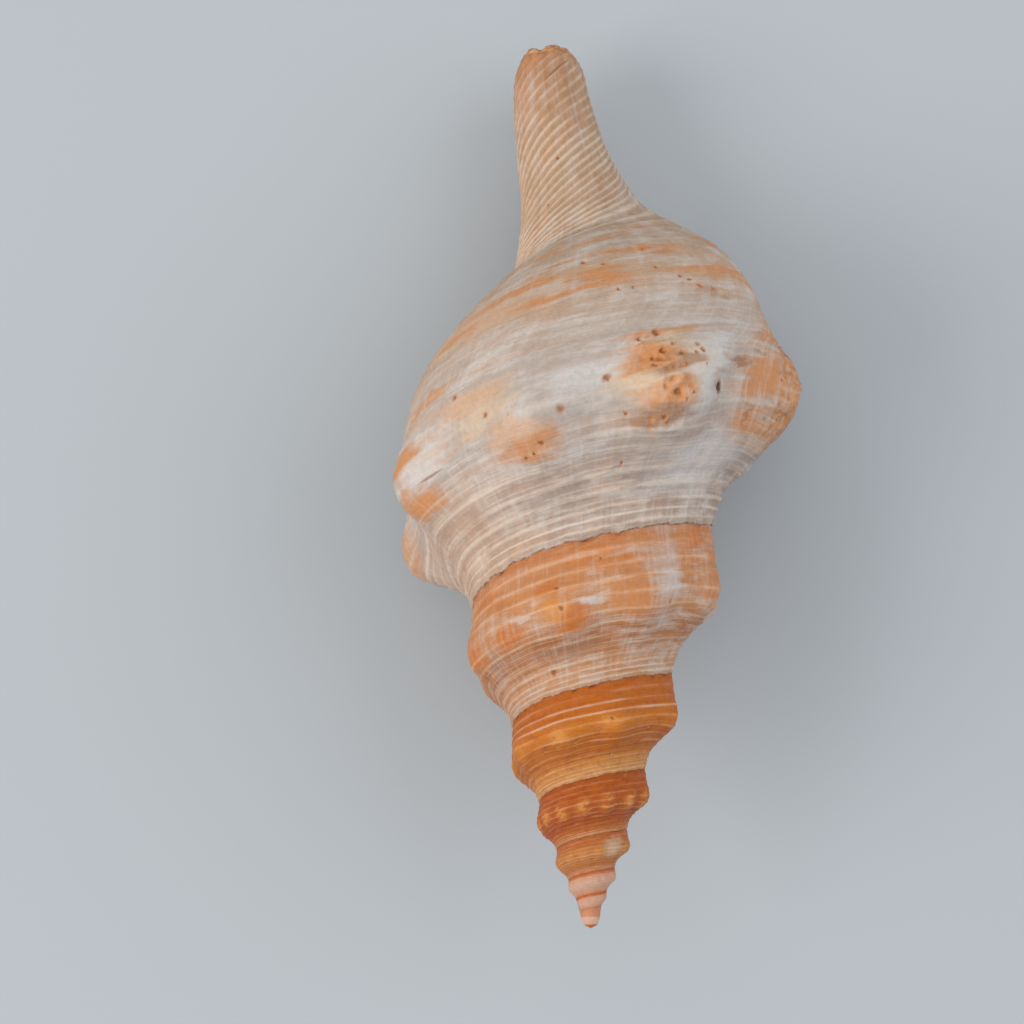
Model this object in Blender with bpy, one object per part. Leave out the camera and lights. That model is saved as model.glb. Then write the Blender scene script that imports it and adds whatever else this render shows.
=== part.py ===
"""Horse conch shell, one closed solid lying on its aperture.

The outer wall is one strip that winds round the axis. Each turn's lower edge is the upper edge of
the turn before it, so the sutures need no joining. The last turn runs on past its suture over the
base and down the canal. Inside it the hollow of the whorl runs back from the aperture.

Shell coordinates: the axis runs from the apex (height 0) to the canal tip, an angle is measured
round it from the back of the shell towards the side of the outer lip, and a turn is 360 degrees.
Profiles are in millimetres, and the finished mesh is in metres.
"""
import math

import bmesh
import bpy
import numpy as np

MM = 0.001

# Growth
SHELL_LENGTH = 204.6
HEIGHT_PER_TURN = 1.600
RADIUS_PER_TURN = 1.525
SPIRE_TURNS = 6.25
FIRST_FULL_TURN = -5.5
NOSE_RADIUS = 1.2
NOSE_RING_HEIGHT = 1.9
NOSE_HEIGHT = 0.9
LIP_ANGLE = 99.0

# Mesh
COLUMNS = 48
SPIRE_ROW_PLACES = (0.0, 0.13, 0.26, 0.38, 0.48, 0.58, 0.7, 0.85, 1.0)
SPIRE_ROWS = len(SPIRE_ROW_PLACES) - 1
BASE_ROWS = 13
PROFILE_END = 2.0
TUBE_COLUMNS = 42
CHANNEL_COLUMNS = 8
MERGE_DISTANCE = 1e-6

# Wall: thickness, and by what share it is thinner on older turns, in the canal and at its tip
WALL = 2.8
LIP_WALL = 1.3
LIP_TAPER_TURNS = 0.05
OLDER_THINNING = 0.25
CANAL_THINNING = 0.25
CANAL_THIN_PLACES = (1.5, 1.75)
TIP_THINNING = 0.55
TIP_THIN_PLACES = (1.93, PROFILE_END)
LEVEL_RIM_PLACE = 1.9

# Hollow: where its rows start, how far back it leaves the canal, and its pillar
TUBE_START = 0.22
INNER_START = 1.08
CANAL_RETREAT = 0.48
CANAL_RETREAT_TURNS = 0.42
PILLAR_RADIUS = 2.0

# Knobs
KNOB_HEIGHT = 3.8
KNOB_DIP = 1.0
KNOB_ROW = 0.53
KNOB_ROW_WIDTH = 0.17
KNOB_ANGLE_WIDTH = 13.0
KNOB_SPACING = 45.0
SUTURE_MARGIN = 0.15

# How it lies: the canal tip is low and the spire is raised
PITCH = math.radians(-9.3)
CANAL_BEND = 4.3
CANAL_BEND_START = 160.0
CANAL_BEND_EASE = 0.8
CANAL_TIP_OFFSET = 1.0

# Profile from one suture (0) to the next (1), at the size of turn 0: place, height, radius
SPIRE_PROFILE = (
    (0.00, 78.0, 26.1), (0.10, 82.5, 27.4), (0.20, 86.8, 29.5), (0.30, 90.9, 32.8),
    (0.40, 95.2, 36.1), (0.50, 99.9, 39.0), (0.60, 105.2, 40.5), (0.70, 110.5, 40.8),
    (0.85, 117.8, 40.4), (1.00, 125.1, 39.9),
)
# The same stretch on the last turn, at its left side and at its lip
LEFT_PROFILE = (
    (0.00, 78.0, 26.1), (0.10, 82.5, 27.6), (0.20, 86.8, 30.1), (0.30, 91.1, 33.8),
    (0.40, 95.6, 37.2), (0.50, 100.5, 40.3), (0.60, 106.0, 42.1), (0.70, 111.5, 43.0),
    (0.85, 118.6, 43.1), (1.00, 125.4, 41.8),
)
LIP_PROFILE = (
    (0.00, 78.0, 26.1), (0.10, 82.6, 27.5), (0.20, 87.0, 30.1), (0.30, 91.3, 34.4),
    (0.40, 95.9, 38.2), (0.50, 101.0, 41.5), (0.60, 106.8, 43.1), (0.70, 112.5, 42.8),
    (0.85, 119.2, 41.4), (1.00, 126.0, 39.6),
)
# Base and canal of the last turn, in real millimetres: place, then height and radius at the
# turn's start beside the aperture, at its left side and at its lip
BASE_PROFILE = (
    (1.12, (94.0, 27.6), (118.0, 35.7), (148.4, 42.2)),
    (1.24, (102.5, 23.6), (124.6, 31.6), (155.0, 39.0)),
    (1.36, (111.5, 18.2), (131.0, 26.6), (161.0, 34.0)),
    (1.48, (121.0, 12.6), (137.5, 20.6), (166.0, 26.6)),
    (1.60, (132.0, 8.0), (144.5, 14.2), (171.4, 18.2)),
    (1.75, (155.0, 4.4), (164.0, 11.0), (181.0, 11.8)),
    (1.90, (182.0, 3.2), (190.0, 9.0), (192.0, 8.8)),
    (1.97, (198.0, 2.8), (201.4, 7.5), (202.2, 7.4)),
    (2.00, (204.0, 2.4), (204.6, 6.2), (204.6, 6.1)),
)
START_TURN, LEFT_TURN, LIP_TURN = -0.75, -0.25, 0.25
LIP_EASE = 1.2
LIP_OVERRUN = 1.1
CANAL_PLACE = 1.60
CANAL_SCROLL_PLACES = (1.36, 1.75)
CANAL_SCROLL_TURNS = (-0.60, -0.40)

# Lip: how far its edge runs past LIP_ANGLE, in degrees, by place on the profile
LIP_REACH = ((0.0, 0.0), (0.25, 0.5), (0.4, 0.0), (0.55, -3.0), (0.7, 3.0), (0.85, 16.0),
             (1.0, 26.0), (1.2, 31.0), (1.4, 34.0), (1.6, 39.0), (1.8, 43.0), (2.0, 43.0))
LIP_REACH_START = -0.35

# Knobs of the last turn: angle and height
LAST_KNOBS = ((82, 3.8), (28, 6.0), (-13, 5.4), (-65, 7.0), (-115, 10.0), (-158, 9.6), (-198, 11.2),
              (-250, 5.0))
# Angles of the older knobs that the back shows; those before them are evenly spaced
OLDER_KNOBS = (-287, -330, -371, -407, -435, -478, -522, -565, -605, -645, -698, -736, -781, -826)

SHELL_COLOUR = (0.78, 0.52, 0.34, 1.0)
SHELL_ROUGHNESS = 0.5


def smoothstep(low, high, x):
    t = np.clip((np.asarray(x, float) - low) / (high - low), 0.0, 1.0)
    return t * t * (3.0 - 2.0 * t)


def curve_through(places, values, x):
    """Cubic curve through the values at the places, read at x."""
    places = np.asarray(places, float)
    values = np.asarray(values, float)
    slopes = np.gradient(values, places)
    i = np.clip(np.searchsorted(places, x, side="right") - 1, 0, len(places) - 2)
    step = places[i + 1] - places[i]
    t = (x - places[i]) / step
    t2, t3 = t * t, t * t * t
    return ((2 * t3 - 3 * t2 + 1) * values[i] + (t3 - 2 * t2 + t) * step * slopes[i]
            + (3 * t2 - 2 * t3) * values[i + 1] + (t3 - t2) * step * slopes[i + 1])


def growth(turn):
    return HEIGHT_PER_TURN ** turn, RADIUS_PER_TURN ** turn


def upper_profile(turn):
    """Places, heights and radii from suture to suture, at this turn's own size."""
    spire, left, lip = (np.array(p) for p in (SPIRE_PROFILE, LEFT_PROFILE, LIP_PROFILE))
    shape = spire + (left - spire) * smoothstep(LIP_ANGLE / 360.0 - 1.0, LEFT_TURN, turn)
    shape = shape + (lip - left) * smoothstep(LEFT_TURN, LIP_TURN, turn)
    tall, wide = growth(turn)
    return shape[:, 0], shape[:, 1] * tall, shape[:, 2] * wide


def base_keys(turn):
    """Heights and radii of the base and canal at this turn."""
    start, left, lip = (np.array([row[k] for row in BASE_PROFILE]) for k in (1, 2, 3))
    if turn < START_TURN:
        share = min((START_TURN - turn) / (LEFT_TURN - START_TURN), 1.0)
        mixed = start + (left * growth(-1.0) - start) * share
        return mixed * growth(min(turn - LEFT_TURN + 1.0, 0.0))
    if turn < LEFT_TURN:
        share = (turn - START_TURN) / (LEFT_TURN - START_TURN)
        mixed = start + (left - start) * share
        rise = float(smoothstep(*CANAL_SCROLL_TURNS, turn))
        scroll = start[:, 1] + (left[:, 1] - start[:, 1]) * rise
        weight = smoothstep(*CANAL_SCROLL_PLACES, [row[0] for row in BASE_PROFILE])
        mixed[:, 1] += (scroll - mixed[:, 1]) * weight
        return mixed
    share = min((turn - LEFT_TURN) / (LIP_TURN - LEFT_TURN), LIP_OVERRUN)
    return left + (lip - left) * share ** LIP_EASE


def whole_profile(turn):
    places, heights, radii = upper_profile(turn)
    base = base_keys(turn)
    return (np.append(places, [row[0] for row in BASE_PROFILE]),
            np.append(heights, base[:, 0]), np.append(radii, base[:, 1]))


def section(turn, places, full):
    """Heights, radii and outward normals of the smooth wall at these places."""
    knots, heights, radii = whole_profile(turn) if full else upper_profile(turn)
    step = 1e-3
    h, h_before, h_after = (curve_through(knots, heights, places + s) for s in (0.0, -step, step))
    r, r_before, r_after = (curve_through(knots, radii, places + s) for s in (0.0, -step, step))
    size = np.hypot(h_after - h_before, r_after - r_before)
    return h, r, (r_before - r_after) / size, (h_after - h_before) / size


def all_knobs():
    """Angles and heights of every knob, from the lip back to the apex."""
    knobs = list(LAST_KNOBS) + [(angle, KNOB_HEIGHT) for angle in OLDER_KNOBS]
    while knobs[-1][0] > -360.0 * SPIRE_TURNS:
        knobs.append((knobs[-1][0] - KNOB_SPACING, KNOB_HEIGHT))
    return np.array(knobs, float)


def knob_lift(turn, places):
    """How far the knobs push the wall out, in the size of this turn."""
    angles, heights = all_knobs().T
    across = (heights * np.exp(-((turn * 360.0 - angles) / KNOB_ANGLE_WIDTH) ** 2)).sum()
    along = np.exp(-((places - KNOB_ROW) / KNOB_ROW_WIDTH) ** 2)
    along = along * smoothstep(0.0, SUTURE_MARGIN, places) * smoothstep(1.0, 1.0 - SUTURE_MARGIN, places)
    return (across - KNOB_DIP) * along * growth(turn)[1]


def lip_reach(turn, places):
    """Degrees by which the wall near the lip is drawn round past its column."""
    knots, reach = zip(*LIP_REACH)
    share = smoothstep(LIP_REACH_START, LIP_ANGLE / 360.0, turn)
    return np.interp(places, knots, reach) * share


def to_space(angle, height, radius):
    """Shell coordinates to x, y, z with the axis along y, in millimetres."""
    phi = np.radians(angle)
    bend = CANAL_BEND * smoothstep(CANAL_BEND_START, SHELL_LENGTH, height) ** CANAL_BEND_EASE
    return np.stack([radius * np.sin(phi) - bend, height, radius * np.cos(phi)], axis=-1)


class Mesh:
    """Vertices and faces gathered while the shell is laid out."""

    def __init__(self):
        self.points = []
        self.faces = []

    def add(self, points):
        first = len(self.points)
        self.points.extend(np.atleast_2d(points).tolist())
        return list(range(first, len(self.points)))

    def strip(self, one, other):
        for a, b, c, d in zip(one, one[1:], other[1:], other):
            self.faces.append((a, b, c, d))

    def fan(self, centre, loop):
        for a, b in zip(loop, loop[1:]):
            self.faces.append((centre, a, b))


def column_turn(i, last):
    return LIP_ANGLE / 360.0 - (last - i) / COLUMNS


def skin_column(turn, places, full):
    """Points of the outer wall at one turn. The first turns by the apex are a smooth cone."""
    height, radius, up, out = section(turn, places, full)
    grown = float(smoothstep(-SPIRE_TURNS, FIRST_FULL_TURN, turn))
    if grown < 1.0:
        ends = section(turn, np.array([0.0, 1.0]), False)[1]
        cone = ends[0] + (ends[1] - ends[0]) * places
        radius = cone + (radius - cone) * grown
    lift = knob_lift(turn, places) * grown
    angle = turn * 360.0 + lip_reach(turn, places)
    return to_space(angle, height + up * lift, radius + out * lift)


def lay_skin(mesh, last, rows, first_base_column):
    """The outer wall: a list of vertex numbers for each column."""
    columns = []
    for i in range(last + 1):
        full = i >= first_base_column
        places = rows if full else rows[:SPIRE_ROWS]
        points = skin_column(column_turn(i, last), places, full)
        if i == first_base_column:
            points = np.delete(points, SPIRE_ROWS, axis=0)
        columns.append(mesh.add(points))
    for i in range(first_base_column + 1):
        stitched = columns[i + COLUMNS][0]
        columns[i] = columns[i][:SPIRE_ROWS] + [stitched] + columns[i][SPIRE_ROWS:]
    return columns


def wall_thickness(turn, places):
    back = LIP_ANGLE / 360.0 - turn
    wall = LIP_WALL + (WALL - LIP_WALL) * (1.0 - math.exp(-back / LIP_TAPER_TURNS))
    wall = wall * (1.0 - OLDER_THINNING * (1.0 - growth(turn)[1]))
    wall = wall * (1.0 - CANAL_THINNING * smoothstep(*CANAL_THIN_PLACES, places))
    return wall * (1.0 - TIP_THINNING * smoothstep(*TIP_THIN_PLACES, places))


def lay_tube(mesh, last, rows, columns, first_base_column):
    """The hollow of the last whorl: outer and inner wall rows for each station, mouth last."""
    outer_places = np.append(TUBE_START, rows[rows > TUBE_START])
    inner_places = rows[rows >= INNER_START]
    outer, inner = {}, {}
    for i in range(last - TUBE_COLUMNS, last + 1):
        turn = column_turn(i, last)
        retreat = float(smoothstep(CHANNEL_COLUMNS / COLUMNS, CANAL_RETREAT_TURNS, (last - i) / COLUMNS))
        reach = (PROFILE_END - CANAL_RETREAT * retreat - TUBE_START) / (PROFILE_END - TUBE_START)
        places = TUBE_START + (outer_places - TUBE_START) * reach
        height, radius, up, out = section(turn, places, True)
        wall = wall_thickness(turn, places)
        height = height - up * wall * (places < LEVEL_RIM_PLACE)
        angle = turn * 360.0 + lip_reach(turn, places)
        outer[i] = mesh.add(to_space(angle, height, radius - out * wall))
        if i == last:
            inner[i] = columns[first_base_column][-len(inner_places):]
            continue
        height, radius, up, out = section(turn - 1.0, inner_places, True)
        floor = section(turn, places[-1:], True)[0][0]
        share = np.clip((inner_places - CANAL_PLACE) / (PROFILE_END - CANAL_PLACE), 0.0, 1.0)
        bend = np.interp(CANAL_PLACE, inner_places, height)
        height = np.where(share > 0.0, bend + (floor - bend) * share, height)
        closing = float(smoothstep(column_turn(last - CHANNEL_COLUMNS, last), LIP_ANGLE / 360.0, turn))
        angle = turn * 360.0 + lip_reach(turn, inner_places) * (1.0 - closing)
        inner[i] = mesh.add(to_space(angle, height, np.maximum(radius, PILLAR_RADIUS)))
    return outer, inner


def build_shell():
    last = int(round((LIP_ANGLE / 360.0 + SPIRE_TURNS) * COLUMNS))
    first_base_column = last - COLUMNS
    base = np.linspace(1.0, PROFILE_END, BASE_ROWS + 1)[2:]
    rows = np.concatenate([SPIRE_ROW_PLACES, [INNER_START], base])
    mesh = Mesh()
    columns = lay_skin(mesh, last, rows, first_base_column)
    for one, other in zip(columns, columns[1:]):
        count = min(len(one), len(other))
        mesh.strip(one[:count], other[:count])
    outer, inner = lay_tube(mesh, last, rows, columns, first_base_column)
    stations = sorted(outer)
    for i, j in zip(stations, stations[1:]):
        mesh.strip(outer[j], outer[i])
        mesh.strip(inner[i], inner[j])
        mesh.strip([outer[i][0], outer[j][0]], [inner[i][0], inner[j][0]])
        if j <= last - CHANNEL_COLUMNS:
            mesh.strip([inner[i][-1], inner[j][-1]], [outer[i][-1], outer[j][-1]])
    close_openings(mesh, columns, outer, inner, stations, last, first_base_column, rows)
    return mesh


def close_openings(mesh, columns, outer, inner, stations, last, first_base_column, rows):
    """Rim of the lip, canal tip, deep end of the hollow and the apex."""
    lip = columns[last]
    skipped = int(np.sum(rows <= TUBE_START))
    mesh.strip(lip[skipped:], outer[last][1:])
    mesh.fan(inner[last][0], lip[:skipped + 1] + [outer[last][1], outer[last][0]])

    mouth = last - CHANNEL_COLUMNS
    tips = [columns[i][-1] for i in range(first_base_column, last + 1)]
    ring = tips[mouth - first_base_column:]
    channel = [outer[i][-1] for i in range(mouth, last + 1)]
    mesh.strip(ring, channel)
    floor = [inner[i][-1] for i in range(mouth, last + 1)]
    centre = mesh.add(to_space(360.0 * LEFT_TURN, SHELL_LENGTH, CANAL_TIP_OFFSET))[0]
    mesh.fan(centre, tips[:mouth - first_base_column + 1] + [channel[0]] + floor)

    deep_outer, deep_inner = outer[stations[0]], inner[stations[0]]
    middle = np.mean([mesh.points[k] for k in deep_outer + deep_inner], axis=0)
    centre = mesh.add(middle)[0]
    mesh.fan(centre, deep_inner + deep_outer[::-1] + [deep_inner[0]])

    first = columns[0]
    loop = [columns[i][0] for i in range(COLUMNS + 1)] + first[:SPIRE_ROWS][::-1]
    x, _, z = np.array([mesh.points[k] for k in loop]).T
    height = np.full(len(loop), NOSE_RING_HEIGHT)
    ring = mesh.add(to_space(np.degrees(np.arctan2(x, z)), height, NOSE_RADIUS))
    mesh.strip(loop, ring)
    tip = mesh.add([0.0, NOSE_HEIGHT, 0.0])[0]
    mesh.fan(tip, ring)


def make_object(mesh):
    turn = np.array([[1, 0, 0], [0, math.cos(PITCH), -math.sin(PITCH)],
                     [0, math.sin(PITCH), math.cos(PITCH)]])
    points = np.array(mesh.points) @ turn.T * MM
    middle = (points.min(axis=0) + points.max(axis=0)) / 2.0
    points -= (middle[0], middle[1], points[:, 2].min())
    data = bpy.data.meshes.new("shell")
    data.from_pydata(points.tolist(), [], mesh.faces)
    work = bmesh.new()
    work.from_mesh(data)
    bmesh.ops.remove_doubles(work, verts=work.verts, dist=MERGE_DISTANCE)
    bmesh.ops.triangulate(work, faces=work.faces, quad_method="SHORT_EDGE")
    bmesh.ops.recalc_face_normals(work, faces=work.faces)
    work.to_mesh(data)
    work.free()
    data.shade_smooth()
    shell = bpy.data.objects.new("shell", data)
    bpy.context.collection.objects.link(shell)
    return shell


def shell_material():
    material = bpy.data.materials.new("shell_wall")
    material.use_nodes = True
    surface = material.node_tree.nodes["Principled BSDF"]
    surface.inputs["Base Color"].default_value = SHELL_COLOUR
    surface.inputs["Roughness"].default_value = SHELL_ROUGHNESS
    surface.inputs["Metallic"].default_value = 0.0
    return material


def main():
    for thing in list(bpy.data.objects):
        bpy.data.objects.remove(thing)
    shell = make_object(build_shell())
    shell.data.materials.append(shell_material())


main()
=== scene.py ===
"""Looks of a horse conch shell: one fine mesh with its cords, knobs, growth lines, pits and worn edges.

The outer wall is one strip that winds round the axis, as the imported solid's does, with finer rows and
columns. Shell coordinates: the axis runs from the apex (height 0) to the canal tip, an angle is
measured round it from the back of the shell towards the outer lip, and a turn is 360 degrees. A place
is 0 at one suture, 1 at the next, and runs on to 2 at the canal tip on the last turn. Profiles are in
millimetres, and the finished mesh is in metres.
"""
import math

import bmesh
import bpy
import numpy as np
from mathutils import Matrix, Vector, kdtree, noise


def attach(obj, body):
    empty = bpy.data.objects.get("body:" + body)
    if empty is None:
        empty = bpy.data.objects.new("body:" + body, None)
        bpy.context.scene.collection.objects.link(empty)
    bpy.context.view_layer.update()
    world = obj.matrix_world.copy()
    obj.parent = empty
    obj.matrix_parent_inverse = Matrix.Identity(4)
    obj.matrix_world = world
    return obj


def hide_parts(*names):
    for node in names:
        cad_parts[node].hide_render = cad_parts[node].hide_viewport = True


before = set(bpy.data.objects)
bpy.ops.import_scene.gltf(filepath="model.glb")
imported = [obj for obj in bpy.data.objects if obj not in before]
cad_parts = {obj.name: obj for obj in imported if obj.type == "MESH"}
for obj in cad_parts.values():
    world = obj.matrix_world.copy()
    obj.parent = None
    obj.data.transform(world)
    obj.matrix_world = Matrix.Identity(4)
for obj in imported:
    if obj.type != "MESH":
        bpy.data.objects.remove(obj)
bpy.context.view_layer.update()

bl_info = {
    "name": "Horse Conch Shell",
    "version": (1, 0, 0),
    "blender": (4, 5, 0),
    "location": "3D View > Sidebar > Conch",
    "description": "Builds a worn horse conch shell on its packed frame, with a plain stage and camera",
    "category": "Object",
}

MM = 0.001

# Growth
SHELL_LENGTH = 204.6
HEIGHT_PER_TURN = 1.600
RADIUS_PER_TURN = 1.525
SPIRE_TURNS = 6.25
FIRST_FULL_TURN = -5.5
NOSE_RINGS = ((1.95, 2.9), (1.4, 1.4))
NOSE_HEIGHT = 0.75
LIP_ANGLE = 99.0
PROFILE_END = 2.0

# How it lies: the canal tip is low and the spire is raised
PITCH = math.radians(-9.3)
CANAL_BEND = 4.3
CANAL_BEND_START = 160.0
CANAL_BEND_EASE = 0.8

# Profile from one suture (0) to the next (1), at the size of turn 0: place, height, radius
SPIRE_PROFILE = (
    (0.00, 78.0, 26.1), (0.10, 82.5, 27.4), (0.20, 86.8, 29.5), (0.30, 90.9, 32.8),
    (0.40, 95.2, 36.1), (0.50, 99.9, 39.0), (0.60, 105.2, 40.5), (0.70, 110.5, 40.8),
    (0.85, 117.8, 40.4), (1.00, 125.1, 39.9),
)
# The same stretch on the last turn, at its left side and at its lip
LEFT_PROFILE = (
    (0.00, 78.0, 26.1), (0.10, 82.5, 27.6), (0.20, 86.8, 30.1), (0.30, 91.1, 33.8),
    (0.40, 95.6, 37.2), (0.50, 100.5, 40.3), (0.60, 106.0, 42.1), (0.70, 111.5, 43.0),
    (0.85, 118.6, 43.1), (1.00, 125.4, 41.8),
)
LIP_PROFILE = (
    (0.00, 78.0, 26.1), (0.10, 82.6, 27.5), (0.20, 87.0, 30.1), (0.30, 91.3, 34.4),
    (0.40, 95.9, 38.2), (0.50, 101.0, 41.5), (0.60, 106.8, 43.1), (0.70, 112.5, 42.8),
    (0.85, 119.2, 41.4), (1.00, 126.0, 39.6),
)
# Base and canal of the last turn, in real millimetres: place, then height and radius at the
# turn's start beside the aperture, at its left side and at its lip
BASE_PROFILE = (
    (1.12, (94.0, 27.6), (118.0, 35.7), (148.4, 42.2)),
    (1.24, (102.5, 23.6), (124.6, 31.6), (155.0, 39.0)),
    (1.36, (111.5, 18.2), (131.0, 26.6), (161.0, 34.0)),
    (1.48, (121.0, 12.6), (137.5, 20.6), (166.0, 26.6)),
    (1.60, (132.0, 8.0), (144.5, 14.2), (171.4, 18.2)),
    (1.75, (155.0, 4.4), (164.0, 11.0), (181.0, 11.8)),
    (1.90, (182.0, 3.2), (190.0, 9.0), (192.0, 8.8)),
    (1.97, (198.0, 2.8), (201.4, 7.5), (202.2, 7.4)),
    (2.00, (204.0, 2.4), (204.6, 6.2), (204.6, 6.1)),
)
START_TURN, LEFT_TURN, LIP_TURN = -0.75, -0.25, 0.25
LIP_EASE = 1.2
LIP_OVERRUN = 1.1
CANAL_PLACE = 1.60
CANAL_SCROLL_PLACES = (1.36, 1.75)
CANAL_SCROLL_TURNS = (-0.60, -0.40)

# Lip: how far its edge runs past LIP_ANGLE, in degrees, by place on the profile
LIP_REACH = ((0.0, 0.0), (0.25, 0.5), (0.4, 0.0), (0.55, -3.0), (0.7, 3.0), (0.85, 16.0),
             (1.0, 26.0), (1.2, 31.0), (1.4, 34.0), (1.6, 39.0), (1.8, 43.0), (2.0, 43.0))
LIP_REACH_START = -0.35
# The lip's flare on the ramp: height, then middle and width as an angle, then as a place
RAMP_FLARE = (1.0, 92.0, 8.0, 0.27, 0.07)
# The lip's chipped edge: where it begins, and the places between which it fades in and out
TEETH_START = 0.245
TEETH_PLACES = ((0.1, 0.25), (1.97, 1.8))

# Broken canal tip: depth, angle and width of its notch, and how far its sides and edge are worn
TIP_NOTCH = (1.5, -16.0, 10.0)
TIP_SIDES = 0.9
TIP_SIDE_ANGLES = (35.0, 100.0)
TIP_RAGGED = 0.3
TIP_CHIP_PLACES = (1.93, PROFILE_END)
TIP_WORN_PLACES = (1.95, 1.99)
# Worn face of the tip: its share of the rim, depth, roughness and middle, in millimetres
TIP_FACE_SHARE = 0.62
TIP_FACE_DEPTH = 0.9
TIP_FACE_ROUGHNESS = 0.4
TIP_FACE_MIDDLE = 2.0
TIP_FACE_DIMPLE = 0.6

# Knobs: angle and height, first on the last turn, then those that the back shows on older ones
LAST_KNOBS = ((82, 3.8), (28, 6.0), (-13, 5.4), (-65, 7.0), (-115, 10.0), (-158, 9.6), (-198, 11.2),
              (-250, 5.0))
OLDER_KNOBS = (-287, -330, -371, -407, -435, -478, -522, -565, -605, -645, -698, -736, -781, -826)
KNOB_HEIGHT = 3.8
KNOB_DIP = 1.0
KNOB_ROW = 0.53
KNOB_ROW_WIDTH = 0.17
KNOB_ANGLE_WIDTH = 13.0
CROWDED_SPACING, CROWDED_WIDTH = 26.0, 9.5
CROWDED_FADE = (-5.4, -3.7)
SUTURE_MARGIN = 0.15

# Wall and hollow
WALL = 2.8
LIP_WALL = 1.3
LIP_TAPER_TURNS = 0.05
OLDER_THINNING = 0.25
CANAL_THINNING = 0.25
CANAL_THIN_PLACES = (1.5, 1.75)
TIP_THINNING = 0.55
TIP_THIN_PLACES = (1.93, PROFILE_END)
LEVEL_RIM_PLACE = 1.9
TUBE_START = 0.20
INNER_START = 1.08
CANAL_RETREAT = 0.48
CANAL_RETREAT_TURNS = 0.42
CHANNEL_TURNS = 1.0 / 6.0
PILLAR_RADIUS = 2.0
CANAL_TIP_OFFSET = 1.0
FOLD_PLACES, FOLD_WIDTH, FOLD_HEIGHT = (1.36, 1.45, 1.54), 0.028, 0.9
FOLD_TURNS = (0.0, 0.06)
# The mask of the hollow at the lip, on its outer and its inner wall, and its rise in a turn
HOLLOW_START, HOLLOW_RISE = (0.25, 0.3), 9.0
# How far the lip's rim bulges, as a share of the wall there
RIM_BULGE = 0.45

# Mesh: columns in a turn, and the coarser steps of the older turns, the canal and the hollow
COLUMNS = 240
COARSEST = 4
FINE_TURNS = 1.75
MIDDLE_TURNS = 3.5
COARSE_ROW_PLACE = 1.5
TUBE_COLUMNS = 208

# Spiral cords, by place, and how they drift towards the canal tip as they cross its back
SPIRE_CORDS = (0.035, 0.075, 0.12, 0.19, 0.26, 0.335, 0.41, 0.49, 0.58, 0.67, 0.77, 0.88)
BODY_CORDS = (1.04, 1.09, 1.14, 1.19, 1.24, 1.29, 1.34, 1.39, 1.44, 1.49, 1.54, 1.59)
CANAL_CORD_START, CANAL_CORD_STEP, CANAL_CORD_COUNT = 1.615, 0.0185, 29
CANAL_ROW_STEP = 0.0042
CORD_DRIFT = 0.38
CORD_DRIFT_TURNS = (-0.35, 0.275)
CORD_DRIFT_RISE = (1.3, 1.75)
# Width of a cord as a share of its step, on the body and on the canal, and strength by place
CORD_WIDTHS = (0.21, 0.28)
CORD_STRENGTH = ((0.0, 0.62), (0.42, 0.5), (0.6, 0.3), (1.0, 0.25), (1.35, 0.25), (1.5, 0.5),
                 (1.65, 0.75), (1.93, 0.7), (2.0, 0.2))
OLDER_CORD_STRENGTH = ((0.0, 0.6), (0.5, 0.55), (1.0, 0.6))
OLDER_CORD_TURNS = (-0.6, -1.1)
# Turns over which the growth lines gain their full height towards the lip
LINES_NEAR_LIP = (0.1, 0.24)
# Relief near the sutures, by place: where it fades, and the ledge and the ragged edge
FADE_AFTER_SUTURE = (0.0, 0.02)
FADE_BEFORE_SUTURE = (1.0, 0.97)
LEDGE_RISE, LEDGE_WIDTH = (0.0, 0.006), 0.05
JAG_WIDTH = 0.03
# Rows of the mesh: at these shares of the way to the next cord, and along the sutures
CORD_ROW_SHARES = (0.0, 0.3, 0.5, 0.7)
CREASE_ROWS = (0.0, 0.008, 0.02)
SEAM_ROWS = (0.94, 0.985, 1.0)

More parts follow.
